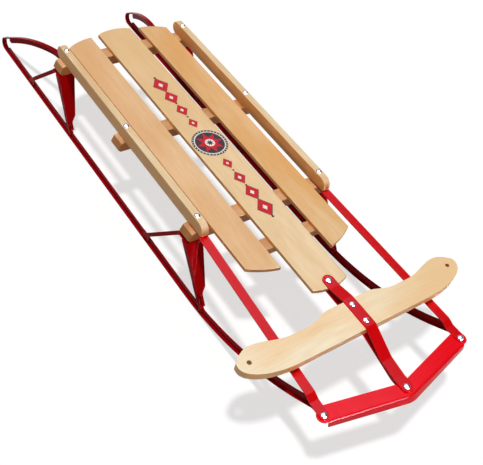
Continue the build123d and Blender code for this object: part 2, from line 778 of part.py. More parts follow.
with BuildPart() as bumper:
    add(lip_block.part)
    creases = bumper.edges().filter_by_position(Axis.Z, bumper_top_z, bumper_top_z)
    creases = creases.filter_by(lambda edge: edge.center().X > bumper_end_crease_x + 2)
    fillet(creases, radius=bumper_round)
    for shift in (bumper_wall, bumper_width / 2, bumper_width - bumper_wall):
        add(lip_block.part.moved(Location((-shift, 0, -bumper_thick))), mode=Mode.SUBTRACT)
    for sign in SIDES.values():
        with BuildSketch(Plane.XY.offset(bumper_top_z)):
            with Locations((link_rivet_x, sign * link_rivet_y)):
                Circle(bumper_end_radius)
        extrude(amount=-bumper_thick)
    with Locations(*[(link_rivet_x, sign * link_rivet_y, bumper_top_z) for sign in SIDES.values()]):
        Hole(radius=link_pin_radius + pin_gap)
    with Locations((bumper_rivet_x, 0, bumper_top_z)):
        Hole(radius=rivet_radius + pin_gap)
write(bumper.part, "bumper")

strut_path = [
    (beam_x["front"], strut_root_z),
    (beam_x["front"] + strut_level, strut_root_z),
    strut_slope_end,
    (strut_step_x, strut_end_z),
    (link_rivet_x, strut_end_z),
]
strut_plan = [(beam_x["front"], rail_y), (link_rivet_x, link_rivet_y)]
strut_blank = bent_bar(strut_path, [60, 12, 10], strut_thick, strut_plan, None, strut_width)
with BuildPart() as strut:
    add(strut_blank)
    for sign in SIDES.values():
        with Locations((rail_front_x - strut_root_short, rail_y + sign * strut_root_half, strut_root_z)):
            root_align = (Align.MAX, Align.MIN if sign > 0 else Align.MAX, Align.CENTER)
            Box(WIDE, strut_width, strut_width, align=root_align, mode=Mode.SUBTRACT)
    with Locations((beam_x["front"], rail_y, strut_root_z)):
        Hole(radius=bolt_radius + pin_gap)
    with Locations((link_rivet_x, link_rivet_y, strut_end_z)):
        Hole(radius=link_pin_radius + link_play)
for side, sign in SIDES.items():
    write(mirrored(strut.part, sign), f"strut_{side}")


# ================================================================ bolts and rivets
for place, x in beam_x.items():
    foot_z = beam_bottom_z if place == "middle" else plate_bottom_z
    for side, sign in SIDES.items():
        bolt = pin(x, sign * rail_y, foot_z, rail_top_z, bolt_radius, bolt_head_radius, bolt_head_height)
        write(bolt, f"rail_bolt_{place}_{side}")

for side, sign in SIDES.items():
    low_z = branch_end_z - tread_thick / 2
    with BuildPart() as screw:
        with BuildSketch(Plane.XY.offset(low_z)):
            with Locations((beam_x["rear"], sign * branch_screw_y)):
                Circle(bolt_radius)
        extrude(amount=beam_bottom_z + screw_depth - low_z)
        with BuildSketch(Plane.XY.offset(low_z)):
            with Locations((beam_x["rear"], sign * branch_screw_y)):
                Circle(screw_head_radius)
        extrude(amount=-screw_head_height)
    write(screw.part, f"loop_screw_{side}")

pivot_low_z = strap_low_z - strap_thick / 2 - swing_gap
pivot_high_z = strap_top_z + strap_thick / 2 + swing_gap
pivot_sizes = (pivot_radius, pivot_head_radius, rivet_head_height, pivot_head_radius)
pivot = pin(pivot_x, 0, pivot_low_z, pivot_high_z, *pivot_sizes)
write(pivot, "pivot_rivet")

rivet_sizes = (rivet_radius, rivet_head_radius, rivet_head_height, rivet_head_radius)
bar_rivet_low_z = strap_low_z - strap_thick / 2
bar_rivet_high_z = strap_bar_z + strap_thick / 2
for place, x in zip(("rear", "front"), bar_rivet_x):
    write(pin(x, 0, bar_rivet_low_z, bar_rivet_high_z, *rivet_sizes), f"bar_rivet_{place}")

nose_low_z = strap_tail_z - strap_thick / 2 - swing_gap
nose_high_z = strap_nose_z + strap_thick / 2 + swing_gap
write(pin(bumper_rivet_x, 0, nose_low_z, nose_high_z, *rivet_sizes), "bumper_rivet_centre")

link_low_z = tab_mid_z - tread_thick / 2 - swing_gap
link_high_z = strut_end_z + strut_thick / 2 + swing_gap
link_pin_sizes = (link_pin_radius, rivet_head_radius, rivet_head_height, link_foot_radius)
for side, sign in SIDES.items():
    link_pin = pin(link_rivet_x, sign * link_rivet_y, link_low_z, link_high_z, *link_pin_sizes)
    write(link_pin, f"bumper_rivet_{side}")
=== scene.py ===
# %% [markdown]
# # A steerable runner sled
# The sled is already built as solids, with its joints, and this script gives it its looks.
# The real one has three kinds of stuff: varnished pale hardwood, pressed steel under glossy
# red enamel, and bright zinc-plated fasteners. The solids could simply be coloured, but
# their edges are knife sharp. So each kind of piece is made again in the way that suits how
# it is really made: boards are sawn from an outline and eased at their edges, flat steel is
# a softened copy of its solid, and fasteners are turned.

import json
from math import atan2, cos, pi, radians, sin, sqrt, tan

import bmesh
import bpy
from mathutils import Matrix, Vector


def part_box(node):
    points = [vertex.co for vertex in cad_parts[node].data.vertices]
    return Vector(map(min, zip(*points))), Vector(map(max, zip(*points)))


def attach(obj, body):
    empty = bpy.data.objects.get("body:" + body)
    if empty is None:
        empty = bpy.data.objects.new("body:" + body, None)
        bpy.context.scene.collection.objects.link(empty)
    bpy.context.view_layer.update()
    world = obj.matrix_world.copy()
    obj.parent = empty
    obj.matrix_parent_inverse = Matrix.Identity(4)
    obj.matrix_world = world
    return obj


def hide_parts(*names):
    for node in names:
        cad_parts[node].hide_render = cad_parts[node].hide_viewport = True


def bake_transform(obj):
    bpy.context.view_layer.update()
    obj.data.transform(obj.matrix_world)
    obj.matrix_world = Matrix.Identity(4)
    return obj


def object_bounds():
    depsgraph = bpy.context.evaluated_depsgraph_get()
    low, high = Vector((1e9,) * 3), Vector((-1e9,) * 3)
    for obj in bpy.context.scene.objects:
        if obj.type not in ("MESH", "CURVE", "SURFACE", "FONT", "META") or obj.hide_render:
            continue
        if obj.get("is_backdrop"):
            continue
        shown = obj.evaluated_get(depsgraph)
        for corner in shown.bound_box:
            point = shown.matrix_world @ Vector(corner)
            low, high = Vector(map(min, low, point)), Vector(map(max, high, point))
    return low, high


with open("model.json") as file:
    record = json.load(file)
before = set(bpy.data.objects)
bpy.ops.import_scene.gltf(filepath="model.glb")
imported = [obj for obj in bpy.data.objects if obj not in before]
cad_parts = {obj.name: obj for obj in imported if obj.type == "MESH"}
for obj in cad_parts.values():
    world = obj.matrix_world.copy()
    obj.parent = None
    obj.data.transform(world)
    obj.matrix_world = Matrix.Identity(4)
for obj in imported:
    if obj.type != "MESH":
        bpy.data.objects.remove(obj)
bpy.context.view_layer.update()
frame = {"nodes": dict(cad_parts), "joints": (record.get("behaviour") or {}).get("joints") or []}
scene = bpy.context.scene
SIDES = {"left": 1, "right": -1}
MM = 0.001


# %% [markdown]
# ## Camera
# The sled is seen from its front right, well above it, with the camera rolled so that the
# deck runs steeply down the view. A Track To constraint could aim the camera, but it can't
# roll it. Three plain turns can, and each stays a readable angle: about the upright axis,
# then down, then about the camera's own line of sight.

# %% Place the camera
view_azimuth = radians(43.03)
view_elevation = radians(46.42)
view_roll = radians(16.64)
view_place = Vector((0.9917, -0.8969, 1.3258))

lens = bpy.data.cameras.new("camera")
lens.lens = 59.88
lens.sensor_width = 36.0
camera = bpy.data.objects.new("camera", lens)
scene.collection.objects.link(camera)
turn = Matrix.Rotation(view_azimuth, 4, "Z") @ Matrix.Rotation(pi / 2 - view_elevation, 4, "X")
camera.matrix_world = Matrix.Translation(view_place) @ turn @ Matrix.Rotation(view_roll, 4, "Z")
scene.camera = camera
print("camera looks along", (camera.matrix_world.to_3x3() @ Vector((0, 0, -1))).to_tuple(3))


# %% [markdown]
# ## Node helpers
# Every finish below is a small node graph. It could be drawn by hand in the shader editor;
# in a script, a few helpers keep it short. One adds a node and sets its values, one does a
# step of arithmetic, one mixes two colours, and one turns a measure into a soft factor.
# Colours are written as screens show them, and scaled, channel by channel, for darker tones.

# %% Helpers for material nodes
def new_material(name):
    """An empty node material with its Principled shader, ready for wiring."""
    material = bpy.data.materials.new(name)
    material.use_nodes = True
    return material, material.node_tree, material.node_tree.nodes["Principled BSDF"]


def add_node(tree, kind, values=None, **settings):
    """Add a node, set its properties by name and its inputs by socket name or number."""
    node = tree.nodes.new(kind)
    for key, value in settings.items():
        setattr(node, key, value)
    for key, value in (values or {}).items():
        node.inputs[key].default_value = value
    return node


def math_node(tree, operation, first, second=0.0):
    """One step of arithmetic, on sockets or on plain numbers."""
    node = add_node(tree, "ShaderNodeMath", operation=operation)
    for socket, value in zip(node.inputs, (first, second)):
        if isinstance(value, (int, float)):
            socket.default_value = value
        else:
            tree.links.new(value, socket)
    return node.outputs[0]


def mix_colours(tree, factor, first, second):
    """Mix two colours, each a socket or an RGB triple, by a factor socket."""
    node = add_node(tree, "ShaderNodeMix", data_type="RGBA")
    tree.links.new(factor, node.inputs["Factor"])
    for socket, value in ((node.inputs["A"], first), (node.inputs["B"], second)):
        if isinstance(value, tuple):
            socket.default_value = (*value, 1)
        else:
            tree.links.new(value, socket)
    return node.outputs["Result"]


def between(tree, value, start, end):
    """A factor that eases from 0 to 1 as a socket goes from start to end, up or down."""
    rising = end > start
    limits = {
        "From Min": min(start, end),
        "From Max": max(start, end),
        "To Min": 0.0 if rising else 1.0,
        "To Max": 1.0 if rising else 0.0,
    }
    node = add_node(tree, "ShaderNodeMapRange", limits, interpolation_type="SMOOTHSTEP")
    tree.links.new(value, node.inputs["Value"])
    return node.outputs[0]


def srgb(red, green, blue):
    """A colour as screens show it, turned into the linear values that shaders take."""
    return tuple(
        c / 12.92 if c <= 0.04045 else ((c + 0.055) / 1.055) ** 2.4
        for c in (red / 255, green / 255, blue / 255)
    )


def scaled(colour, *factors):
    """A colour times one factor, or times one factor for each channel."""
    return tuple(c * f for c, f in zip(colour, factors if len(factors) == 3 else factors * 3))


def object_texture(tree):
    """The node whose coordinates are fixed to the object."""
    return tree.nodes.new("ShaderNodeTexCoord")


# %% [markdown]
# ## Varnished hardwood
# Pale maple or birch shows several things at once: broad clouds of tone over a board, fine
# streaks of grain along it, and short darker flecks. A picture of a board could be wrapped
# round each piece, but it would repeat and show seams. Noise in space has neither, so each
# of these is a noise stretched along the grain, by a different amount. End grain is darker,
# because rough wood takes up more varnish, so the shader looks at which way a face points.
# By the same test it paints shade: sides are painted warmer and darker than the top, as
# painted shade where less light falls. Each board is also painted a little darker towards
# one end of its grain, as painted shade where the light falls off. The grain runs along X in
# slats and rails, and along Y in beams and bar.

# %% Wood material
def stretched_noise(tree, place, axis, shift, scale, detail, along, roughness=0.55):
    """Noise drawn out along the grain: the smaller along is, the longer its streaks."""
    stretch = (along, 1, 1) if axis == "X" else (1, along, 1)
    mapping = add_node(
        tree, "ShaderNodeMapping", {"Location": (shift, shift * 0.37, 0), "Scale": stretch}
    )
    tree.links.new(place.outputs["Object"], mapping.inputs["Vector"])
    node = add_node(
        tree, "ShaderNodeTexNoise", {"Scale": scale, "Detail": detail, "Roughness": roughness}
    )
    tree.links.new(mapping.outputs["Vector"], node.inputs["Vector"])
    return node.outputs["Fac"]


def wood(name, pale, warm, grain_along, shift, painted_falloff, span=(0.35, -0.45)):
    """Varnished pale wood with its grain along X or Y; shift gives each board its own pattern.

    Along its grain the board is painted darker, as painted shade where the light falls off,
    over the span in metres; the number after shift says by how much.
    """
    material, tree, shader = new_material(name)
    place = object_texture(tree)

    def noise(**settings):
        return stretched_noise(tree, place, grain_along, shift, **settings)

    def axis_of(vector, axis):
        split = tree.nodes.new("ShaderNodeSeparateXYZ")
        tree.links.new(place.outputs[vector], split.inputs[0])
        return split.outputs[axis]

    def facing(axis):
        return math_node(tree, "ABSOLUTE", axis_of("Normal", axis))

    clouds = noise(scale=13, detail=3, along=0.3)
    figure = noise(scale=55, detail=4, along=0.14)
    streaks = noise(scale=420, detail=6, along=0.05, roughness=0.65)
    flecks = noise(scale=900, detail=3, along=0.12, roughness=0.7)
    tone = mix_colours(tree, between(tree, clouds, 0.34, 0.66), pale, warm)
    for factor, share, factors in (
        # where a layer lies, how much of it is laid on, and how its tone differs from warm
        (between(tree, figure, 0.45, 0.75), 0.45, (0.96, 0.88, 0.74)),
        (math_node(tree, "POWER", streaks, 2.5), 0.9, (0.7, 0.6, 0.48)),
        (between(tree, flecks, 0.64, 0.7), 0.2, (0.42,)),
        # painted shade: darker towards one end of the grain, where the light falls off
        (between(tree, axis_of("Object", grain_along), *span), painted_falloff, (0.86, 0.74, 0.56)),
        # painted shade: sides warmer and darker than the top, where less light falls
        (between(tree, facing("Z"), 0.9, 0.3), 0.8, (0.95, 0.63, 0.29)),
        (between(tree, facing(grain_along), 0.6, 0.9), 0.25, (0.4,)),
    ):
        depth = math_node(tree, "MULTIPLY", factor, share)
        tone = mix_colours(tree, depth, tone, scaled(warm, *factors))
    tree.links.new(tone, shader.inputs["Base Color"])

    gloss = add_node(tree, "ShaderNodeMapRange", {"To Min": 0.32, "To Max": 0.48})
    tree.links.new(streaks, gloss.inputs["Value"])
    tree.links.new(gloss.outputs[0], shader.inputs["Roughness"])
    relief = add_node(tree, "ShaderNodeBump", {"Strength": 0.12, "Distance": 0.0002})
    tree.links.new(streaks, relief.inputs["Height"])
    tree.links.new(relief.outputs[0], shader.inputs["Normal"])
    shader.inputs["Specular IOR Level"].default_value = 0.2
    shader.inputs["Coat Weight"].default_value = 0.02
    shader.inputs["Coat Roughness"].default_value = 0.25
    return material


# the span, in metres along the bar, over which it is painted darker as painted shade
bar_falloff_span = (-0.05, 0.25)
# after each shift: how much darker the board is painted towards one end, as painted shade
wood_finishes = {
    "centre": wood("maple_centre", srgb(250, 224, 184), srgb(238, 206, 160), "X", 0.0, 0.7),
    "left": wood("maple_left", srgb(240, 204, 156), srgb(228, 176, 112), "X", 3.1, 0.4),
    "right": wood("maple_right", srgb(240, 202, 156), srgb(230, 184, 134), "X", 5.7, 0.26),
    "rail": wood("ash_rail", srgb(244, 222, 184), srgb(230, 196, 148), "X", 9.2, 0.26),
    "beam": wood("beech_beam", srgb(222, 178, 130), srgb(192, 138, 90), "Y", 1.3, 0.1),
    "bar": wood("beech_bar", srgb(255, 244, 214), srgb(252, 220, 176), "Y", 7.9, 0.75, bar_falloff_span),
}
print("wood finishes:", ", ".join(wood_finishes))


# %% [markdown]
# ## Red enamel and zinc
# Stoved enamel is smooth, glossy and a saturated red. A plain glossy shader would look like
# plastic, so noise clouds its colour and its gloss by a little, and a faint orange peel in
# the bump keeps its reflections from being glassy. The pieces' reds differ by painted light
# and shade: the bumper's red is painted brighter and bluer, a painted sheen of the light on
# it, and the legs, braces and runners get a deeper red, painted shade on their upright
# sides, with less gloss. Zinc plate on the fasteners is bright metal, slightly clouded.

# %% Enamel and zinc materials
def clouded(name, colour, cloud_values, darkest, gloss_range):
    """A material whose colour and roughness both follow one cloud of noise."""
    material, tree, shader = new_material(name)
    place = object_texture(tree)
    cloud = add_node(tree, "ShaderNodeTexNoise", cloud_values)
    tree.links.new(place.outputs["Object"], cloud.inputs["Vector"])
    tone = mix_colours(tree, cloud.outputs["Fac"], colour, scaled(colour, darkest))
    tree.links.new(tone, shader.inputs["Base Color"])
    gloss = add_node(tree, "ShaderNodeMapRange", dict(zip(("To Min", "To Max"), gloss_range)))
    tree.links.new(cloud.outputs["Fac"], gloss.inputs["Value"])
    tree.links.new(gloss.outputs[0], shader.inputs["Roughness"])
    return material, tree, shader, place


def enamel(name, colour, gloss_level=0.18):
    """Glossy stoved enamel on steel, with a faint orange peel."""
    material, tree, shader, place = clouded(
        name, colour, {"Scale": 14, "Detail": 3}, darkest=0.86, gloss_range=(0.14, 0.26)
    )
    peel = add_node(tree, "ShaderNodeTexNoise", {"Scale": 700, "Detail": 2})
    tree.links.new(place.outputs["Object"], peel.inputs["Vector"])
    relief = add_node(tree, "ShaderNodeBump", {"Strength": 0.04, "Distance": 0.0001})
    tree.links.new(peel.outputs["Fac"], relief.inputs["Height"])
    tree.links.new(relief.outputs[0], shader.inputs["Normal"])
    shader.inputs["Specular IOR Level"].default_value = gloss_level
    return material


def plated(name, colour):
    """Bright plated steel, slightly clouded."""
    material, _, shader, _ = clouded(
        name, colour, {"Scale": 260, "Detail": 4}, darkest=0.82, gloss_range=(0.16, 0.34)
    )
    shader.inputs["Metallic"].default_value = 1.0
    return material


red_enamel = enamel("red_enamel", srgb(216, 3, 10))
# the bumper's red is painted brighter and bluer: a painted sheen of the light on it
bumper_enamel_sheen = enamel("bumper_enamel_sheen", srgb(244, 4, 24), 0.2)
# legs, braces and runners: a deeper red, painted shade on their upright sides
shaded_leg_enamel = enamel("shaded_leg_enamel", srgb(164, 3, 8), 0.02)
shaded_runner_enamel = enamel("shaded_runner_enamel", srgb(158, 4, 14), 0.015)
bright_zinc = plated("bright_zinc", srgb(226, 228, 232))
print("metal finishes:", red_enamel.name, bright_zinc.name)


# %% [markdown]
# ## Shared making helpers
# A piece is a mesh whose object stays at the origin. Its modifiers could stay live, but then
# each later step would meet a shape that isn't final, so they are turned into plain mesh at
# once. The helpers here make an object from a bmesh, skin a row of outlines, ease edges, and
# hand a piece to the frame: which body it rides on, and which solids it stands for.

# %% Helpers for pieces
SHARP = 35      # degrees; an edge that turns by less is part of a curve


def new_object(name, shape):
    """Link a bmesh into the scene as an object at the origin."""
    mesh = bpy.data.meshes.new(name)
    bmesh.ops.recalc_face_normals(shape, faces=shape.faces)
    shape.to_mesh(mesh)
    shape.free()
    piece = bpy.data.objects.new(name, mesh)
    scene.collection.objects.link(piece)
    return piece


def apply_modifiers(piece):
    """Turn what the modifiers show into the piece's own plain mesh."""
    bpy.context.view_layer.update()
    shown = piece.evaluated_get(bpy.context.evaluated_depsgraph_get())
    mesh = bpy.data.meshes.new_from_object(shown)
    piece.modifiers.clear()
    piece.data = mesh
    return piece


def skin(rings):
    """A bmesh of a closed solid, from rings of points in mm that all have one length."""
    shape = bmesh.new()
    rings = [[shape.verts.new(Vector(point) * MM) for point in ring] for ring in rings]
    for near, far in zip(rings, rings[1:]):
        for i in range(len(near)):
            j = (i + 1) % len(near)
            shape.faces.new((near[i], near[j], far[j], far[i]))
    for ring in (rings[0], rings[-1]):
        shape.faces.new(ring)
    return shape


def combine(piece, operation, name, tool_shape):
    """Cut a tool out of a piece, or join it on, with a Boolean."""
    tool = new_object(name, tool_shape)
    boolean = piece.modifiers.new(name, "BOOLEAN")
    boolean.operation = operation
    boolean.object = tool
    apply_modifiers(piece)
    bpy.data.objects.remove(tool)


def upright_cylinder(shape, middle, radius, height, sides):
    """Add a closed upright cylinder to a bmesh, in mm."""
    bmesh.ops.create_cone(
        shape, cap_ends=True, segments=sides, radius1=radius * MM, radius2=radius * MM,
        depth=height * MM, matrix=Matrix.Translation(Vector(middle) * MM),
    )
    return shape


def ease_edges(piece, width, segments=3):
    """Round every sharp edge by a width in mm, and keep flat faces flat in the light."""
    piece.data.shade_smooth()
    bevel = piece.modifiers.new("ease", "BEVEL")
    bevel.width = width * MM
    bevel.segments = segments
    bevel.limit_method = "ANGLE"
    bevel.angle_limit = radians(SHARP)
    bevel.harden_normals = True
    return apply_modifiers(piece)


def fit(piece, material, slot, body, *nodes):
    """Give a piece its finish and its place on the frame, standing for the named solids."""
    piece.data.materials.clear()
    piece.data.materials.append(material)
    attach(piece, body)
    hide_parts(*nodes)
    print(piece.name, "has", len(piece.data.polygons), "faces")
    return piece


def box_mm(node):
    """A solid's lowest and highest corner, in millimetres."""
    low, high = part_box(node)
    return low / MM, high / MM


# %% [markdown]
# ## Boards
# A real board is sawn to an outline and its edges are eased by a pass of sandpaper. A scaled
# cube can't have bowed ends, and sculpting can't be measured, so each board is an outline
# swept from one face to the other, with a bevel for the sandpaper. Outlines are drawn in the
# plane in which they are sawn: slats and bar from above, rails from the side, beams from the
# end.

# %% Sweep an outline into a board
AXES = {
    "Z": lambda u, v, w: (u, v, w),
    "Y": lambda u, v, w: (u, w, v),
    "X": lambda u, v, w: (w, u, v),
}


def sweep(name, outline, low, high, axis="Z"):
    """A solid between two copies of an outline, at low and high along an axis."""
    place = AXES[axis]
    rings = [[place(u, v, level) for u, v in outline] for level in (low, high)]
    return new_object(name, skin(rings))


def arc_through(start, middle, end, steps=12):
    """Points of the arc through three points, with both ends."""
    (ax, ay), (bx, by), (cx, cy) = start, middle, end
    d = 2 * (ax * (by - cy) + bx * (cy - ay) + cx * (ay - by))
    a2, b2, c2 = ax * ax + ay * ay, bx * bx + by * by, cx * cx + cy * cy
    ox = (a2 * (by - cy) + b2 * (cy - ay) + c2 * (ay - by)) / d
    oy = (a2 * (cx - bx) + b2 * (ax - cx) + c2 * (bx - ax)) / d
    radius = sqrt((ax - ox) ** 2 + (ay - oy) ** 2)
    first = atan2(ay - oy, ax - ox)
    sweep_angle = atan2(cy - oy, cx - ox) - first
    counter_clockwise = (bx - ax) * (cy - ay) - (by - ay) * (cx - ax) > 0
    if counter_clockwise and sweep_angle < 0:
        sweep_angle += 2 * pi
    if not counter_clockwise and sweep_angle > 0:
        sweep_angle -= 2 * pi
    angles = [first + sweep_angle * i / steps for i in range(steps + 1)]
    return [(ox + radius * cos(a), oy + radius * sin(a)) for a in angles]


# %% [markdown]
# ### Deck slats
# Three thin boards carry the rider. The middle slat has bowed ends, and the side slats end
# in slanted bows that run back from their inner edges, so the deck has a pointed look from
# above. The ends could be cut by a Boolean with large cylinders. An arc through three points
# is simpler, because two corners and a middle are what one can measure on a board.

# %% Make the three slats
slat_ease = 1.4
centre_end_rise = 9.5
side_rear_setback = (5.5, 21.5)     # of the end's middle and of its outer corner
side_front_setback = (10.0, 27.5)

(rear, _, low), (front, half, high) = box_mm("slat_centre")
front_corner, rear_corner = front - centre_end_rise, rear + centre_end_rise
centre_outline = arc_through((front_corner, -half), (front, 0), (front_corner, half))
centre_outline += arc_through((rear_corner, half), (rear, 0), (rear_corner, -half))
slat_centre = ease_edges(sweep("centre_slat", centre_outline, low, high), slat_ease)
fit(slat_centre, wood_finishes["centre"], "wood", "sled", "slat_centre")
slat_top = high

for side in SIDES:
    (rear, y_low, low), (front, y_high, high) = box_mm(f"slat_{side}")
    inner, outer = sorted((y_low, y_high), key=abs)
    middle = (inner + outer) / 2
    front_middle, front_outer = (front - setback for setback in side_front_setback)
    rear_middle, rear_outer = (rear + setback for setback in side_rear_setback)
    side_outline = arc_through((front, inner), (front_middle, middle), (front_outer, outer))
    side_outline += arc_through((rear_outer, outer), (rear_middle, middle), (rear, inner))
    slat = ease_edges(sweep(f"side_slat_{side}", side_outline, low, high), slat_ease)
    fit(slat, wood_finishes[side], "wood", "sled", f"slat_{side}")


# %% [markdown]
# ### Side rails
# The rails are hand grips along both sides. Seen from the side, a rail has a half-round tail
# and a nose that is rounded off on top, and under the nose it is cut back by a few
# millimetres, to let the steering strut turn there. Bevels of three sizes could round it,
# but here too the outline says it all: arcs at the ends, and a step for the strut.

# %% Make the rails
corner_steps, tail_steps = 8, 20


def corner_arc(corner, radius, first_turn):
    """A quarter arc that rounds a square corner; the turn is where it starts, in quarters."""
    x, y = corner
    start = first_turn * pi / 2
    cx = x - radius * (cos(start) + cos(start + pi / 2))
    cy = y - radius * (sin(start) + sin(start + pi / 2))
    angles = [start + pi / 2 * i / corner_steps for i in range(corner_steps + 1)]
    return [(cx + radius * cos(a), cy + radius * sin(a)) for a in angles]


rail_ease = 1.6
rail_nose_top, rail_nose_low = 21.0, 6.0
strut_end_gap, strut_top_gap = 1.5, 0.3
strut_low, strut_high = box_mm("strut_left")
recess_start = strut_low.x - strut_end_gap
recess = strut_high.z + strut_top_gap
for side in SIDES:
    (rear, y_low, low), (front, y_high, high) = box_mm(f"rail_{side}")
    tail = (high - low) / 2
    rail_outline = [(rear + tail, low), (recess_start, low), (recess_start, recess)]
    rail_outline += corner_arc((front, recess), rail_nose_low, -1)
    rail_outline += corner_arc((front, high), rail_nose_top, 0)
    tail_arc = arc_through((rear + tail, high), (rear, low + tail), (rear + tail, low), tail_steps)
    rail_outline += tail_arc[:-1]
    rail = ease_edges(sweep(f"side_rail_{side}", rail_outline, y_low, y_high, "Y"), rail_ease)
    fit(rail, wood_finishes["rail"], "wood", "sled", f"rail_{side}")


# %% [markdown]
# ### Cross beams and cleat
# Three beams carry the deck across the runners' legs. Their ends are cut back at the top and
# eased below. Each could be modelled by itself, but the same outline, drawn from the end and
# mirrored about the middle, serves all three. A plain cleat joins the slats in front.

# %% Make the beams
beam_ease = 1.2
end_top, end_side = 7.5, 6.5
for place in ("rear", "middle", "front"):
    (rear, _, low), (front, half, high) = box_mm(f"beam_{place}")
    half_outline = [
        (half - end_side - end_top, high),
        (half - end_side, high - end_top / 3),
        (half, low + end_side),
        (half - end_side, low),
    ]
    beam_outline = half_outline + [(-y, z) for y, z in reversed(half_outline)]
    beam = ease_edges(sweep(f"cross_beam_{place}", beam_outline, rear, front, "X"), beam_ease)
    fit(beam, wood_finishes["beam"], "wood", "sled", f"beam_{place}")

(rear, _, low), (front, half, high) = box_mm("cleat_front")
cleat_outline = [(rear, -half), (front, -half), (front, half), (rear, half)]
cleat = ease_edges(sweep("front_cleat", cleat_outline, low, high), beam_ease)
fit(cleat, wood_finishes["beam"], "wood", "sled", "cleat_front")


# %% [markdown]
# ### Steering bar
# The bar is a shaped board, pushed with the feet: straight in front, waisted behind, with
# broad rounded horns and a rope hole through each. Its outline could be a Bezier curve; here
# it is worked out from the few points where its direction is known, and mirrored. The rope
# holes are cut with a Boolean, before the edges are eased, so their rims are eased too.

# %% Make the steering bar
bar_ease, bar_ease_steps = 7.0, 5
bar_rear, waist_y = 472.0, 50.0                         # straight where the straps cross it
grip_rear, grip_start, grip_end = 485.5, 108.0, 150.0   # waisted for the feet
horn_rear, horn_y = 468.5, 236.0                        # the horn's widest place
corner_x, corner_in = 489.0, 0.8                        # where it turns round the end
tip_x, shoulder_y, front_steps = 497.5, 165.0, 18       # quarter ellipse in front
hole_x, hole_y, hole_radius, hole_sides = 497.5, 254.0, 4.5, 40


def ease_between(start, end, start_direction, end_direction, steps=10):
    """A smooth S or quarter curve between two points, with given directions at its ends."""
    p, q = Vector(start), Vector(end)
    reach = (q - p).length
    a, b = Vector(start_direction) * reach, Vector(end_direction) * reach
    points = []
    for i in range(steps):
        t = i / steps
        s = 1 - t
        ends = (1 + 2 * t) * s * s * p + t * t * (3 - 2 * t) * q
        point = ends + t * s * s * a - t * t * s * b
        points.append(tuple(point))
    return points


(_, _, low), (front, half, high) = box_mm("steering_bar")
outwards, round_the_end = (0, 1), (0.7, 0.7)
horn, corner = (horn_rear, horn_y), (corner_x, half - corner_in)
waist, grip, grip_far = (bar_rear, waist_y), (grip_rear, grip_start), (grip_rear, grip_end)
half_outline = [(bar_rear, 0.0)]
half_outline += ease_between(waist, grip, outwards, outwards)
half_outline += ease_between(grip, grip_far, outwards, outwards, 3)
half_outline += ease_between(grip_far, horn, outwards, outwards)
half_outline += ease_between(horn, corner, outwards, round_the_end)
half_outline.append(corner)
for i in range(front_steps + 1):
    around = pi / 2 * (1 - i / front_steps)
    x = tip_x + (front - tip_x) * cos(around)
    half_outline.append((x, shoulder_y + (half - shoulder_y) * sin(around)))
bar_outline = half_outline + [(x, -y) for x, y in reversed(half_outline[1:])]
steering_bar = sweep("foot_bar", bar_outline, low, high)

drill = bmesh.new()
for sign in SIDES.values():
    middle = (hole_x, sign * hole_y, (low + high) / 2)
    upright_cylinder(drill, middle, hole_radius, 2 * (high - low), hole_sides)
combine(steering_bar, "DIFFERENCE", "rope_holes", drill)
ease_edges(steering_bar, bar_ease, bar_ease_steps)
fit(steering_bar, wood_finishes["bar"], "wood", "steering", "steering_bar")


# %% [markdown]
# ## Bent and pressed steel
# Struts, straps and braces are cut from flat steel, bent and painted. They are exact as
# solids already: what they lack is the small radius that shearing, bending and enamel leave
# on every edge. Modelling them anew would only repeat the solids' work. So each is a copy of
# its solid, with doubled corners merged and flat faces made whole, and its edges rounded.
# A bent strip has many short edges round its bends. They are all rounded with the rest,
# because an edge that stops being round part of the way leaves a crease across the face.

# %% Copy a solid and soften its edges
same_corner = 0.001     # mm; corners nearer than this are one
flat_within = 0.4       # degrees; faces that turn by less are one face


def copy_of(*nodes):
    """A bmesh of the named solids, with doubled corners merged and flat faces made whole."""
    shape = bmesh.new()
    for node in nodes:
        shape.from_mesh(frame["nodes"][node].data)
    bmesh.ops.remove_doubles(shape, verts=shape.verts[:], dist=same_corner * MM)
    bmesh.ops.dissolve_limit(
        shape, angle_limit=radians(flat_within), verts=shape.verts[:], edges=shape.edges[:],
        delimit=set(),
    )
    return shape


def sharp_edges(shape, angle=SHARP):
    """Edges of a bmesh that turn by more than the angle."""
    inner = (edge for edge in shape.edges if len(edge.link_faces) == 2)
    return [edge for edge in inner if edge.calc_face_angle() > radians(angle)]


def round_off(shape, edges, width, segments):
    """Round the given edges of a bmesh."""
    bmesh.ops.bevel(
        shape, geom=edges, offset=width * MM, offset_type="OFFSET", segments=segments, profile=0.5,
        affect="EDGES", clamp_overlap=False,
    )


def settle(name, shape):
    """Make the object, and let its large flat faces decide the shading of its round edges."""
    piece = new_object(name, shape)
    piece.data.shade_smooth()
    weighted = piece.modifiers.new("shading", "WEIGHTED_NORMAL")
    weighted.weight = 100
    weighted.keep_sharp = True
    return apply_modifiers(piece)


steel_ease, steel_ease_steps = 0.5, 2


def steel_piece(name, body, node, material=red_enamel):
    """A softened copy of one steel solid."""
    shape = copy_of(node)
    round_off(shape, sharp_edges(shape), steel_ease, steel_ease_steps)
    return fit(settle(name, shape), material, "red_enamel", body, node)


# %% Make the struts, straps and braces
for side in SIDES:
    steel_piece(f"steering_strut_{side}", f"strut_{side}", f"strut_{side}")
steel_piece("upper_strap", "steering", "strap_upper")
steel_piece("lower_strap", "steering", "strap_lower")
for place in ("rear", "front"):
    for side in SIDES:
        steel_piece(f"side_brace_{place}_{side}", "sled", f"brace_{place}_{side}", shaded_leg_enamel)


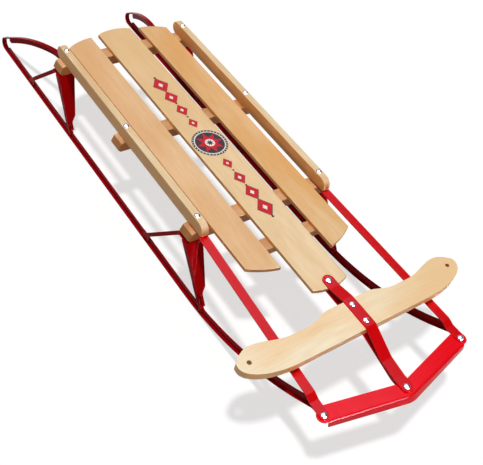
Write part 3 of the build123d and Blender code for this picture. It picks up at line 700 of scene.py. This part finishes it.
# %% [markdown]
# ### Bumper
# The bumper is a shallow V of strip steel whose front edge is rolled down into a lip. What
# one sees first is the long highlight in that roll. A bevel on a copy of the solid puts
# spikes into the V's apex and ends, so the roll is made as a true arc, slice by slice along
# the V, and the round ends that hold the link rivets are joined on with a Boolean. The apex
# is rounded too: each line of the V is two straights and an arc.

# %% Lines of the bumper's V
bumper_low, bumper_high = box_mm("bumper")
end_rivets = [sum(box_mm(f"bumper_rivet_{side}"), Vector()) / 2 for side in SIDES]
v_half, v_radius = 176.0, 60.0              # half length across, and the apex's rounding
crease_apex, crease_end = 680.0, 647.0      # x of the roll's start, in the middle and outside
lip_apex, lip_end = 688.5, 650.0            # x of the lip's foot
strip_width, strip_thick, lip_wall = 37.5, 2.5, 1.7
inner_drop, inner_run = 1.0, 1.5            # the slant inside the roll
roll_radius, roll_steps = 6.0, 10
end_radius, end_sides = 13.5, 48
slices_a_side, apex_slices, apex_step = 24, 5, 2.5


def v_line(apex, end, y):
    """Where a V with its apex on the middle line and a rounded tip stands at a given y."""
    lean = atan2(apex - end, v_half)
    if abs(y) > v_radius * sin(lean):
        return apex - abs(y) * tan(lean)
    return apex - v_radius / cos(lean) + sqrt(v_radius**2 - y * y)


def bumper_profile(y):
    """The bumper's section at a given y, as (x, z) points."""
    crease, lip = v_line(crease_apex, crease_end, y), v_line(lip_apex, lip_end, y)
    back = v_line(lip_apex - strip_width, lip_end - strip_width, y)
    top, low = bumper_high.z, bumper_low.z
    fold = atan2(top - low, lip - crease)
    reach = roll_radius * tan(fold / 2)
    points = [(back, top - strip_thick), (back, top)]
    for i in range(roll_steps + 1):
        turned = fold * i / roll_steps
        x = crease - reach + roll_radius * sin(turned)
        points.append((x, top - roll_radius * (1 - cos(turned))))
    inner, under = crease - lip_wall, top - strip_thick
    points += [(lip, low), (lip - lip_wall, low), (inner, under - inner_drop)]
    return points + [(inner - inner_run, under)]


# %% Make the bumper
slices = [v_half * (i / slices_a_side) for i in range(-slices_a_side, slices_a_side + 1)]
slices += [apex_step * i for i in range(-apex_slices, apex_slices + 1) if i]
rings = [[(x, y, z) for x, z in bumper_profile(y)] for y in sorted(slices)]
bumper = new_object("front_bumper", skin(rings))
for rivet in end_rivets:
    middle = (rivet.x, rivet.y, bumper_high.z - strip_thick / 2)
    disc = upright_cylinder(bmesh.new(), middle, end_radius, strip_thick, end_sides)
    combine(bumper, "UNION", "bumper_end", disc)
ease_edges(bumper, steel_ease, steel_ease_steps)
fit(bumper, bumper_enamel_sheen, "red_enamel", "bumper", "bumper")


# %% [markdown]
# ### Standards
# A standard is a leg, pressed from one sheet into a tapering channel. Its two long creases
# have a visible radius, a highlight runs down them, and the sheet's rims stay thin. One bevel
# for all edges would lose that difference, so the creases get a wide one first. They are
# found as the slanting sides of the broad face that looks forward.

# %% Make the standards
crease_radius, crease_steps, crease_drop = 2.2, 4, 20
rim_angle = 50      # degrees; after the creases are round, only the rims turn by more
forward_share, upward_share = 0.6, 0.3      # of the direction in which the slanted front looks


def looks_forward(face):
    """Is this face part of the leg's slanted front?"""
    return face.normal.x > forward_share and face.normal.z > upward_share


for place in ("rear", "front"):
    for side in SIDES:
        node = f"standard_{place}_{side}"
        shape = copy_of(node)
        forward = max(filter(looks_forward, shape.faces), key=lambda face: face.calc_area())
        drops = {edge: abs(edge.verts[0].co.z - edge.verts[1].co.z) for edge in forward.edges}
        creases = [edge for edge, drop in drops.items() if drop > crease_drop * MM]
        round_off(shape, creases, crease_radius, crease_steps)
        round_off(shape, sharp_edges(shape, rim_angle), steel_ease, steel_ease_steps)
        fit(settle(f"leg_{place}_{side}", shape), shaded_leg_enamel, "red_enamel", "sled", node)


# %% [markdown]
# ### Runners
# A real runner is one long spring steel tee from the rear loop to the bumper, and it steers
# the sled by bending. The frame holds it as two solids with a hinge between them. Left as
# two pieces it would show a gap at each turn. So the facing ends are taken away and bridged,
# which makes it one piece again, and it is sliced every few millimetres near the hinge, so
# that a bend there could be a smooth curve. This script doesn't bend it.

# %% Make the runners
bend_start, bend_end, slice_step = -8.0, 40.0, 4.0      # mm, forward of the hinge
end_within, end_share = 2.0, 0.99                       # how near the hinge, how square on
on_plane = 0.0001                                       # mm; a corner so near needs no cut
runner_ease = 0.7
joint_places = {joint["name"]: Vector(joint["pos_m"]) for joint in frame["joints"]}


def faces_hinge(face, hinge):
    """Is this one of the two cut ends that face each other at the hinge?"""
    near = abs(face.calc_center_median().x - hinge.x) < end_within * MM
    return near and abs(face.normal.x) > end_share


for side in SIDES:
    hinge = joint_places[f"runner_{side}_flex"]
    shape = copy_of(f"runner_{side}", f"runner_front_{side}")
    ends = [face for face in shape.faces if faces_hinge(face, hinge)]
    rims = [edge for face in ends for edge in face.edges]
    bmesh.ops.delete(shape, geom=ends, context="FACES_ONLY")
    bmesh.ops.bridge_loops(shape, edges=rims)
    steps = int((bend_end - bend_start) / slice_step)
    for i in range(steps + 1):
        cut = hinge + Vector((bend_start + i * slice_step, 0, 0)) * MM
        everything = shape.verts[:] + shape.edges[:] + shape.faces[:]
        bmesh.ops.bisect_plane(
            shape, geom=everything, plane_co=cut, plane_no=(1, 0, 0), dist=on_plane * MM
        )
    round_off(shape, sharp_edges(shape), runner_ease, steel_ease_steps)
    runner = settle(f"spring_runner_{side}", shape)
    # the runners' deeper red is painted shade
    runner.data.materials.append(shaded_runner_enamel)
    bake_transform(runner)
    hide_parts(f"runner_{side}", f"runner_front_{side}")
    print(runner.name, "has", len(runner.data.polygons), "faces, bridged from", len(ends), "ends")


# %% [markdown]
# ## Trees for what repeats
# Fasteners and printed shapes repeat, on points that are known. Copies could be made in a
# loop, but Geometry Nodes do it with the sizes as named inputs, which can then be changed by
# hand as well. Both trees below are built alike: named inputs, one thing that is made from
# them, a copy of it on each point, and at the end the copies made real, with their material.
# The helpers here begin such a tree, end it, and run it on a piece.

# %% Helpers for geometry trees
def new_tree(name, inputs):
    """An empty Geometry Nodes tree with named inputs; gives the tree and its input sockets."""
    tree = bpy.data.node_groups.new(name, "GeometryNodeTree")
    for label, kind in (("Points", "Geometry"), *inputs.items(), ("Finish", "Material")):
        tree.interface.new_socket(label, in_out="INPUT", socket_type=f"NodeSocket{kind}")
    tree.interface.new_socket("Copies", in_out="OUTPUT", socket_type="NodeSocketGeometry")
    return tree, tree.nodes.new("NodeGroupInput").outputs


def stand_on_points(tree, given, pattern, **settings):
    """End a tree: copies of a pattern on the given points, made real and given their finish."""
    copies = tree.nodes.new("GeometryNodeInstanceOnPoints")
    tree.links.new(given["Points"], copies.inputs["Points"])
    tree.links.new(pattern, copies.inputs["Instance"])
    for label, socket in settings.items():
        tree.links.new(socket, copies.inputs[label])
    realized = tree.nodes.new("GeometryNodeRealizeInstances")
    tree.links.new(copies.outputs[0], realized.inputs[0])
    finished = tree.nodes.new("GeometryNodeSetMaterial")
    tree.links.new(realized.outputs[0], finished.inputs["Geometry"])
    tree.links.new(given["Finish"], finished.inputs["Material"])
    result = tree.nodes.new("NodeGroupOutput")
    tree.links.new(finished.outputs[0], result.inputs["Copies"])
    print(tree.name, "has", len(tree.nodes), "nodes")
    return tree


def run_tree(piece, tree, given):
    """Run a tree on a piece's points, with inputs set by name, and keep the plain mesh."""
    modifier = piece.modifiers.new(tree.name, "NODES")
    modifier.node_group = tree
    for item in tree.interface.items_tree:
        if item.name in given:
            modifier[item.identifier] = given[item.name]
    return apply_modifiers(piece)


# %% [markdown]
# ## Rivets and bolts
# The sled is held together by domed rivets and by bolts whose nuts are out of sight. They
# could be cylinders with half a squashed sphere on top, but that stands too steep at its
# rim. So a tree turns each one from a shank, a foot and a true dome, the cap of a large ball.
# The dome is a short line swept by a circle whose radius changes: at a height z above the
# foot of the head, it is the root of ball squared less (z + ball - height) squared.

# %% Build the fastener tree
shank_sides, dome_sides, dome_rings = 24, 32, 12


def fastener_tree():
    """A tree that stands turned fasteners on the points of a mesh."""
    sizes = ("Shank radius", "Length", "Head radius", "Head height", "Foot radius", "Foot height")
    inputs = {label: "Float" for label in sizes}
    tree, given = new_tree("turned_fastener", {**inputs, "Foot sides": "Int", "Turn": "Vector"})
    link = tree.links.new

    def math(operation, first, second=0.0):
        return math_node(tree, operation, first, second)

    def upright(height):
        vector = tree.nodes.new("ShaderNodeCombineXYZ")
        link(height, vector.inputs["Z"])
        return vector.outputs[0]

    def cylinder(radius, depth, middle):
        solid = add_node(tree, "GeometryNodeMeshCylinder", {"Vertices": shank_sides})
        link(radius, solid.inputs["Radius"])
        link(depth, solid.inputs["Depth"])
        moved = tree.nodes.new("GeometryNodeTransform")
        link(solid.outputs["Mesh"], moved.inputs["Geometry"])
        link(upright(middle), moved.inputs["Translation"])
        return solid, moved.outputs[0]

    length, foot_height = given["Length"], given["Foot height"]
    _, shank = cylinder(given["Shank radius"], length, math("MULTIPLY", length, 0.5))
    nut, foot = cylinder(given["Foot radius"], foot_height, math("MULTIPLY", foot_height, -0.5))
    link(given["Foot sides"], nut.inputs["Vertices"])

    head_height, head_radius = given["Head height"], given["Head radius"]
    radius_squared = math("MULTIPLY", head_radius, head_radius)
    height_squared = math("MULTIPLY", head_height, head_height)
    both_squares = math("ADD", radius_squared, height_squared)
    ball = math("DIVIDE", both_squares, math("MULTIPLY", head_height, 2.0))
    line = tree.nodes.new("GeometryNodeCurvePrimitiveLine")
    link(upright(length), line.inputs["Start"])
    link(upright(math("ADD", length, head_height)), line.inputs["End"])
    stations = add_node(tree, "GeometryNodeResampleCurve", {"Count": dome_rings})
    link(line.outputs[0], stations.inputs["Curve"])
    place = tree.nodes.new("ShaderNodeSeparateXYZ")
    link(tree.nodes.new("GeometryNodeInputPosition").outputs[0], place.inputs[0])
    above_foot = math("SUBTRACT", place.outputs["Z"], length)
    above_centre = math("ADD", above_foot, math("SUBTRACT", ball, head_height))
    centre_squared = math("MULTIPLY", above_centre, above_centre)
    under_root = math("SUBTRACT", math("MULTIPLY", ball, ball), centre_squared)
    around = math("SQRT", math("MAXIMUM", under_root, 1e-12))
    swelled = tree.nodes.new("GeometryNodeSetCurveRadius")
    link(stations.outputs[0], swelled.inputs["Curve"])
    link(around, swelled.inputs["Radius"])
    circle_values = {"Resolution": dome_sides, "Radius": 1.0}
    ring = add_node(tree, "GeometryNodeCurvePrimitiveCircle", circle_values)
    dome = add_node(tree, "GeometryNodeCurveToMesh", {"Fill Caps": True})
    link(swelled.outputs[0], dome.inputs["Curve"])
    link(ring.outputs[0], dome.inputs["Profile Curve"])
    if "Scale" in dome.inputs:      # newer versions of Blender take the radius from here
        radius_field = tree.nodes.new("GeometryNodeInputRadius")
        link(radius_field.outputs[0], dome.inputs["Scale"])

    joined = tree.nodes.new("GeometryNodeJoinGeometry")
    for part in (dome.outputs[0], foot, shank):
        link(part, joined.inputs[0])
    return stand_on_points(tree, given, joined.outputs[0], Rotation=given["Turn"])


fasteners = fastener_tree()


# %% Set the fasteners
fastener_sharp = 40     # degrees; a dome's rings turn by less


def fasten(name, body, nodes, head, foot, shank, sides=32, turn=0.0, finish=None):
    """Turned fasteners in place of solids; head and foot are (radius, height), all in mm.

    The turn about X is 0 for a head on top, pi for one below, and a quarter turn, minus or
    plus, for one on the left or on the right.
    """
    material, slot = finish or (bright_zinc, "bright_steel")
    direction = Vector((0, -sin(turn), cos(turn)))
    along = 1 if abs(direction.y) > 0.5 else 2
    up = direction[along] > 0
    points = bmesh.new()
    for node in nodes:
        low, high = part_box(node)
        middle = (low + high) / 2
        middle[along] = low[along] + foot[1] * MM if up else high[along] - foot[1] * MM
        length = high[along] - low[along] - (head[1] + foot[1]) * MM
        points.verts.new(middle)
    sizes = {
        "Shank radius": shank, "Head radius": head[0], "Head height": head[1],
        "Foot radius": foot[0], "Foot height": foot[1],
    }
    given = {label: size * MM for label, size in sizes.items()}
    given |= {"Length": length, "Foot sides": sides, "Turn": (turn, 0, 0), "Finish": material}
    piece = run_tree(new_object(name, points), fasteners, given)
    weld = bmesh.new()
    weld.from_mesh(piece.data)
    bmesh.ops.remove_doubles(weld, verts=weld.verts[:], dist=same_corner * MM)
    weld.to_mesh(piece.data)
    weld.free()
    piece.data.shade_smooth()
    piece.data.set_sharp_from_angle(angle=radians(fastener_sharp))
    return fit(piece, material, slot, body, *nodes)


bolt_head, nut = (6.5, 3.2), (5.5, 4.0)
pivot_head, pivot_foot = (7.0, 2.6), (7.0, 1.3)
rivet_head, rivet_foot, wide_foot = (6.3, 2.6), (6.3, 1.3), (8.5, 1.3)
stud = (3.6, 1.2)
screw_head, screw_tip = (5.5, 2.5), (3.0, 0.4)
stud_shank, thin_shank, rivet_shank, pivot_shank = 2.0, 3.0, 3.5, 4.0
# the studs take the legs' red, which carries painted shade
painted = (shaded_leg_enamel, "red_enamel")
bar_nodes = ["bar_rivet_rear", "bar_rivet_front"]
end_nodes = ["bumper_rivet_left", "bumper_rivet_right"]
screw_nodes = [f"loop_screw_{side}" for side in SIDES]

for place in ("rear", "middle", "front"):
    bolts = [f"rail_bolt_{place}_{side}" for side in SIDES]
    fasten(f"rail_bolts_{place}", "sled", bolts, bolt_head, nut, thin_shank, sides=6)
fasten("deck_pivot", "sled", ["pivot_rivet"], pivot_head, pivot_foot, pivot_shank)
fasten("bar_rivets", "steering", bar_nodes, rivet_head, rivet_foot, rivet_shank)
fasten("nose_rivet", "bumper", ["bumper_rivet_centre"], rivet_head, rivet_foot, rivet_shank)
fasten("bumper_end_rivets", "bumper", end_nodes, rivet_head, wide_foot, thin_shank)
for side, sign in SIDES.items():
    outward = -sign * pi / 2
    for kind in ("standard", "brace", "brace_foot"):
        nodes = [f"{kind}_rivet_{place}_{side}" for place in ("rear", "front")]
        name = f"{kind}_studs_{side}"
        fasten(name, "sled", nodes, stud, stud, stud_shank, turn=outward, finish=painted)
fasten("loop_screws", "sled", screw_nodes, screw_head, screw_tip, thin_shank, turn=pi)


# %% [markdown]
# ## Printed ornament
# The deck's middle slat is screen printed: a dark medallion with a star, and a chain of
# lozenges before and behind it. A texture could carry the print, but its edges blur close
# up. Print is a film of ink, so each colour is a thin plate, and each plate lies six
# hundredths of a millimetre above the one below, which keeps their faces from fighting.

# %% Ink materials
def ink(name, colour):
    """Screen ink under varnish, with the board's grain faintly breaking it up."""
    material, tree, shader = new_material(name)
    wear = stretched_noise(
        tree, object_texture(tree), "X", 0.0, scale=900, detail=4, along=0.05, roughness=0.5
    )
    worn = math_node(tree, "MULTIPLY", between(tree, wear, 0.45, 0.8), 0.5)
    worn_colour = tuple(c * 0.8 + 0.06 for c in colour)
    tone = mix_colours(tree, worn, colour, worn_colour)
    tree.links.new(tone, shader.inputs["Base Color"])
    shader.inputs["Roughness"].default_value = 0.4
    shader.inputs["Specular IOR Level"].default_value = 0.25
    return material


red_ink = ink("red_ink", srgb(196, 14, 26))
dark_ink = ink("dark_ink", srgb(38, 30, 34))
white_ink = ink("white_ink", srgb(240, 232, 220))
print("inks:", red_ink.name, dark_ink.name, white_ink.name)


# %% Print the medallion
ink_thickness, ink_step = 0.05, 0.06
medal_x, medal_radius = -14.0, 41.0
border, inner_ring = 4.8, 2.5
star_outer, star_inner, star_points = 32.5, 17, 8
hub_radius, eye_outer, eye_inner = 11.5, 9.5, 4.5
circle_steps = 64


def printed(name, outline, layer, material):
    """A thin plate of ink, from an outline in millimetres on the deck."""
    low = slat_top + ink_step * layer
    rings = [[(x, y, z) for x, y in outline] for z in (low, low + ink_thickness)]
    return fit(new_object(name, skin(rings)), material, "wood", "sled")


def round_medal(reaches):
    """Points round the medallion's middle, at the given distances, the first one forward."""
    turn = 2 * pi / len(reaches)
    return [(medal_x + r * cos(turn * i), r * sin(turn * i)) for i, r in enumerate(reaches)]


def circle(radius):
    """The outline of a disc in the medallion."""
    return round_medal([radius] * circle_steps)


def star(outer, inner):
    """The outline of a star in the medallion."""
    return round_medal([outer, inner] * star_points)


films = (
    ("disc", circle(medal_radius), dark_ink),
    ("rim", circle(medal_radius - border), white_ink),
    ("field", circle(medal_radius - border - inner_ring), dark_ink),
    ("star", star(star_outer, star_inner), red_ink),
    ("hub", circle(hub_radius), white_ink),
    ("eye", star(eye_outer, eye_inner), dark_ink),
)
for layer, (label, outline, colour) in enumerate(films, 1):
    printed(f"medallion_{label}", outline, layer, colour)


# %% [markdown]
# ### Lozenges and dots
# The chain and the medallion's ring of dots are one flat shape each, printed many times in
# slightly different sizes. An Array modifier could repeat them, but not with a size for
# each. The tree here stamps a flat plate with a few corners on each point, as large as the
# size that the point carries says: four corners make a lozenge, and a dozen or more a dot.

# %% Build the stamping tree
def stamping_tree():
    """A tree that lays a flat plate with a few corners on each point of a mesh."""
    inputs = {"Corners": "Int", "Half length": "Float", "Half width": "Float", "Thickness": "Float"}
    tree, given = new_tree("stamped_plates", inputs)
    link = tree.links.new
    plate = add_node(tree, "GeometryNodeMeshCylinder", {"Radius": 1.0})
    link(given["Corners"], plate.inputs["Vertices"])
    link(given["Thickness"], plate.inputs["Depth"])
    size = add_node(tree, "GeometryNodeInputNamedAttribute", {"Name": "size"}, data_type="FLOAT")
    scale = add_node(tree, "ShaderNodeCombineXYZ", {"Z": 1.0})
    link(math_node(tree, "MULTIPLY", size.outputs[0], given["Half length"]), scale.inputs["X"])
    link(math_node(tree, "MULTIPLY", size.outputs[0], given["Half width"]), scale.inputs["Y"])
    return stand_on_points(tree, given, plate.outputs["Mesh"], Scale=scale.outputs[0])


stamps = stamping_tree()


# %% Stamp the lozenges and dots
def stamped(name, spots, corners, half_length, half_width, layer, material):
    """Plates of one ink; each spot is (x, y, size)."""
    shape = bmesh.new()
    size = shape.verts.layers.float.new("size")
    level = slat_top + ink_step * layer + ink_thickness / 2
    for x, y, scale in spots:
        point = shape.verts.new(Vector((x, y, level)) * MM)
        point[size] = scale
    lengths = {"Half length": half_length, "Half width": half_width, "Thickness": ink_thickness}
    given = {label: length * MM for label, length in lengths.items()}
    given |= {"Corners": corners, "Finish": material}
    piece = run_tree(new_object(name, shape), stamps, given)
    return fit(piece, material, "wood", "sled")


chain_links, ring_dots = 4, 32


def chain(first, last, small, large):
    """Spots before and behind the medallion, growing from small to large as they go out."""
    spots = []
    for sign in (1, -1):
        for i in range(chain_links):
            t = i / (chain_links - 1)
            x = medal_x + sign * (first + (last - first) * t)
            spots.append((x, 0, small + (large - small) * t))
    return spots


lozenges, dots = chain(70, 212, 0.6, 1.0), chain(93, 240, 0.8, 1.0)
ring_of_dots = [(x, y, 1) for x, y in round_medal([medal_radius - border / 2] * ring_dots)]
for values in (
    # name, spots, corners, half length, half width, layer, ink
    ("lozenge_rims", lozenges, 4, 27.5, 20, 1, dark_ink),
    ("lozenges", lozenges, 4, 25.5, 18.5, 2, red_ink),
    ("lozenge_hearts", lozenges, 4, 8, 5.8, 3, white_ink),
    ("chain_dots", dots, 20, 3.0, 3.0, 1, dark_ink),
    ("medallion_dots", ring_of_dots, 12, 1.4, 1.4, 2, white_ink),
):
    stamped(*values)


# %% [markdown]
# ## Floor
# The sled stands on a white sweep. A floor that is white in itself would throw so much light
# back that the sled's underside would glow. This one keeps a middling albedo and gets its
# whiteness only where the camera or a reflection looks at it, so that the light it throws on
# the sled stays the same while the background turns white.

# %% Make the floor
floor_reach, floor_grey, floor_glow = 6, 0.38, 0.655


def floor_material():
    """White to the camera and in reflections, and a middling grey for bounced light."""
    material = bpy.data.materials.new("studio_floor")
    material.use_nodes = True
    tree = material.node_tree
    tree.nodes.clear()
    surface = tree.nodes.new("ShaderNodeOutputMaterial")
    path = tree.nodes.new("ShaderNodeLightPath")
    seen = math_node(tree, "MAXIMUM", path.outputs["Is Camera Ray"], path.outputs["Is Glossy Ray"])
    seen = math_node(tree, "MAXIMUM", seen, path.outputs["Is Transmission Ray"])
    matt = add_node(tree, "ShaderNodeBsdfDiffuse", {"Color": (*[floor_grey] * 3, 1)})
    glow = add_node(tree, "ShaderNodeEmission", {"Color": (1, 1, 1, 1)})
    tree.links.new(math_node(tree, "MULTIPLY", seen, floor_glow), glow.inputs["Strength"])
    both = tree.nodes.new("ShaderNodeAddShader")
    tree.links.new(matt.outputs[0], both.inputs[0])
    tree.links.new(glow.outputs[0], both.inputs[1])
    tree.links.new(both.outputs[0], surface.inputs["Surface"])
    return material


floor_shape = bmesh.new()
bmesh.ops.create_grid(floor_shape, x_segments=8, y_segments=8, size=floor_reach)
floor = new_object("studio_floor", floor_shape)
floor.data.materials.append(floor_material())
floor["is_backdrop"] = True
print("floor reaches", floor_reach, "m each way")


# %% [markdown]
# ## Light
# A studio would hang soft boxes round the sled, and area lamps could stand for them. Here
# the world does it, because a world never gets in a view's way. Matt surfaces get an even
# dim light with a bounce from below and a fill from the front. Glossy ones mirror two lit
# windows in the sky: a large box overhead, and a very bright one in front that draws the
# highlight along the bumper's roll. That one is wide, and it has a price: from low behind
# the sled, flat tops mirror it and turn white. One sun with a soft edge casts the shadow.

# %% Light the world
ambient, bounce, front_fill = 0.12, 0.25, 0.4
wall_strength, box_strength, strip_strength = 0.12, 2.8, 40.0
box_tint = (0.88, 0.88, 1.1)
# each window has an edge for X, Y and Z: dark at its first number, fully lit at its second
overhead_edges = ((0.16, 0.0), (0.625, 0.565), (0.46, 0.78))
strip_edges = ((0.62, 0.76), (0.36, 0.31), (0.0, 0.06))
below_edge, front_edge = (0.05, -0.2), (0.4, 0.8)

world = bpy.data.worlds.new("studio")
world.use_nodes = True
tree = world.node_tree
tree.nodes.clear()
direction = tree.nodes.new("ShaderNodeSeparateXYZ")
tree.links.new(tree.nodes.new("ShaderNodeTexCoord").outputs["Generated"], direction.inputs[0])


def lit(axis, edge):
    """How far a direction is past a soft edge along one axis."""
    return between(tree, direction.outputs[axis], *edge)


def window(edges):
    """A lit window of directions, with a soft edge along each axis."""
    x_lit, y_lit, z_lit = (lit(axis, edge) for axis, edge in zip("XYZ", edges))
    return math_node(tree, "MULTIPLY", math_node(tree, "MULTIPLY", x_lit, y_lit), z_lit)


def add_light(level, factor, strength):
    """A light level plus a factor times its strength."""
    return math_node(tree, "ADD", math_node(tree, "MULTIPLY", factor, strength), level)


shade = add_light(ambient, lit("Z", below_edge), bounce)
shade = add_light(shade, lit("X", front_edge), front_fill)
mirrored = add_light(wall_strength, window(overhead_edges), box_strength)
mirrored = add_light(mirrored, window(strip_edges), strip_strength)

rays = tree.nodes.new("ShaderNodeLightPath").outputs
in_eye = math_node(tree, "MAXIMUM", rays["Is Camera Ray"], rays["Is Transmission Ray"])
strength = tree.nodes.new("ShaderNodeMix")
tree.links.new(rays["Is Glossy Ray"], strength.inputs["Factor"])
tree.links.new(shade, strength.inputs["A"])
tree.links.new(mirrored, strength.inputs["B"])
tint = mix_colours(tree, rays["Is Glossy Ray"], (1, 1, 1), box_tint)
white = tree.nodes.new("ShaderNodeBackground")
tree.links.new(tint, white.inputs["Color"])
tree.links.new(
    math_node(tree, "MAXIMUM", strength.outputs["Result"], in_eye), white.inputs["Strength"]
)
surface = tree.nodes.new("ShaderNodeOutputWorld")
tree.links.new(white.outputs[0], surface.inputs["Surface"])
scene.world = world
print("the world's light has", len(tree.nodes), "nodes")


# %% Add the sun
sun = bpy.data.lights.new("key", "SUN")
sun.energy = 2.4
sun.angle = radians(6)
sun_object = bpy.data.objects.new("key", sun)
shadow_drift = Vector((0.05, 0.08, -1.0))
sun_object.rotation_euler = shadow_drift.to_track_quat("-Z", "Y").to_euler()
scene.collection.objects.link(sun_object)
scene.view_settings.view_transform = "Standard"
print("sun shines along", shadow_drift.normalized().to_tuple(2))


# %% [markdown]
# ## Finish
# The sled's final box is measured.

# %% Sizes and finish
low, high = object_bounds()
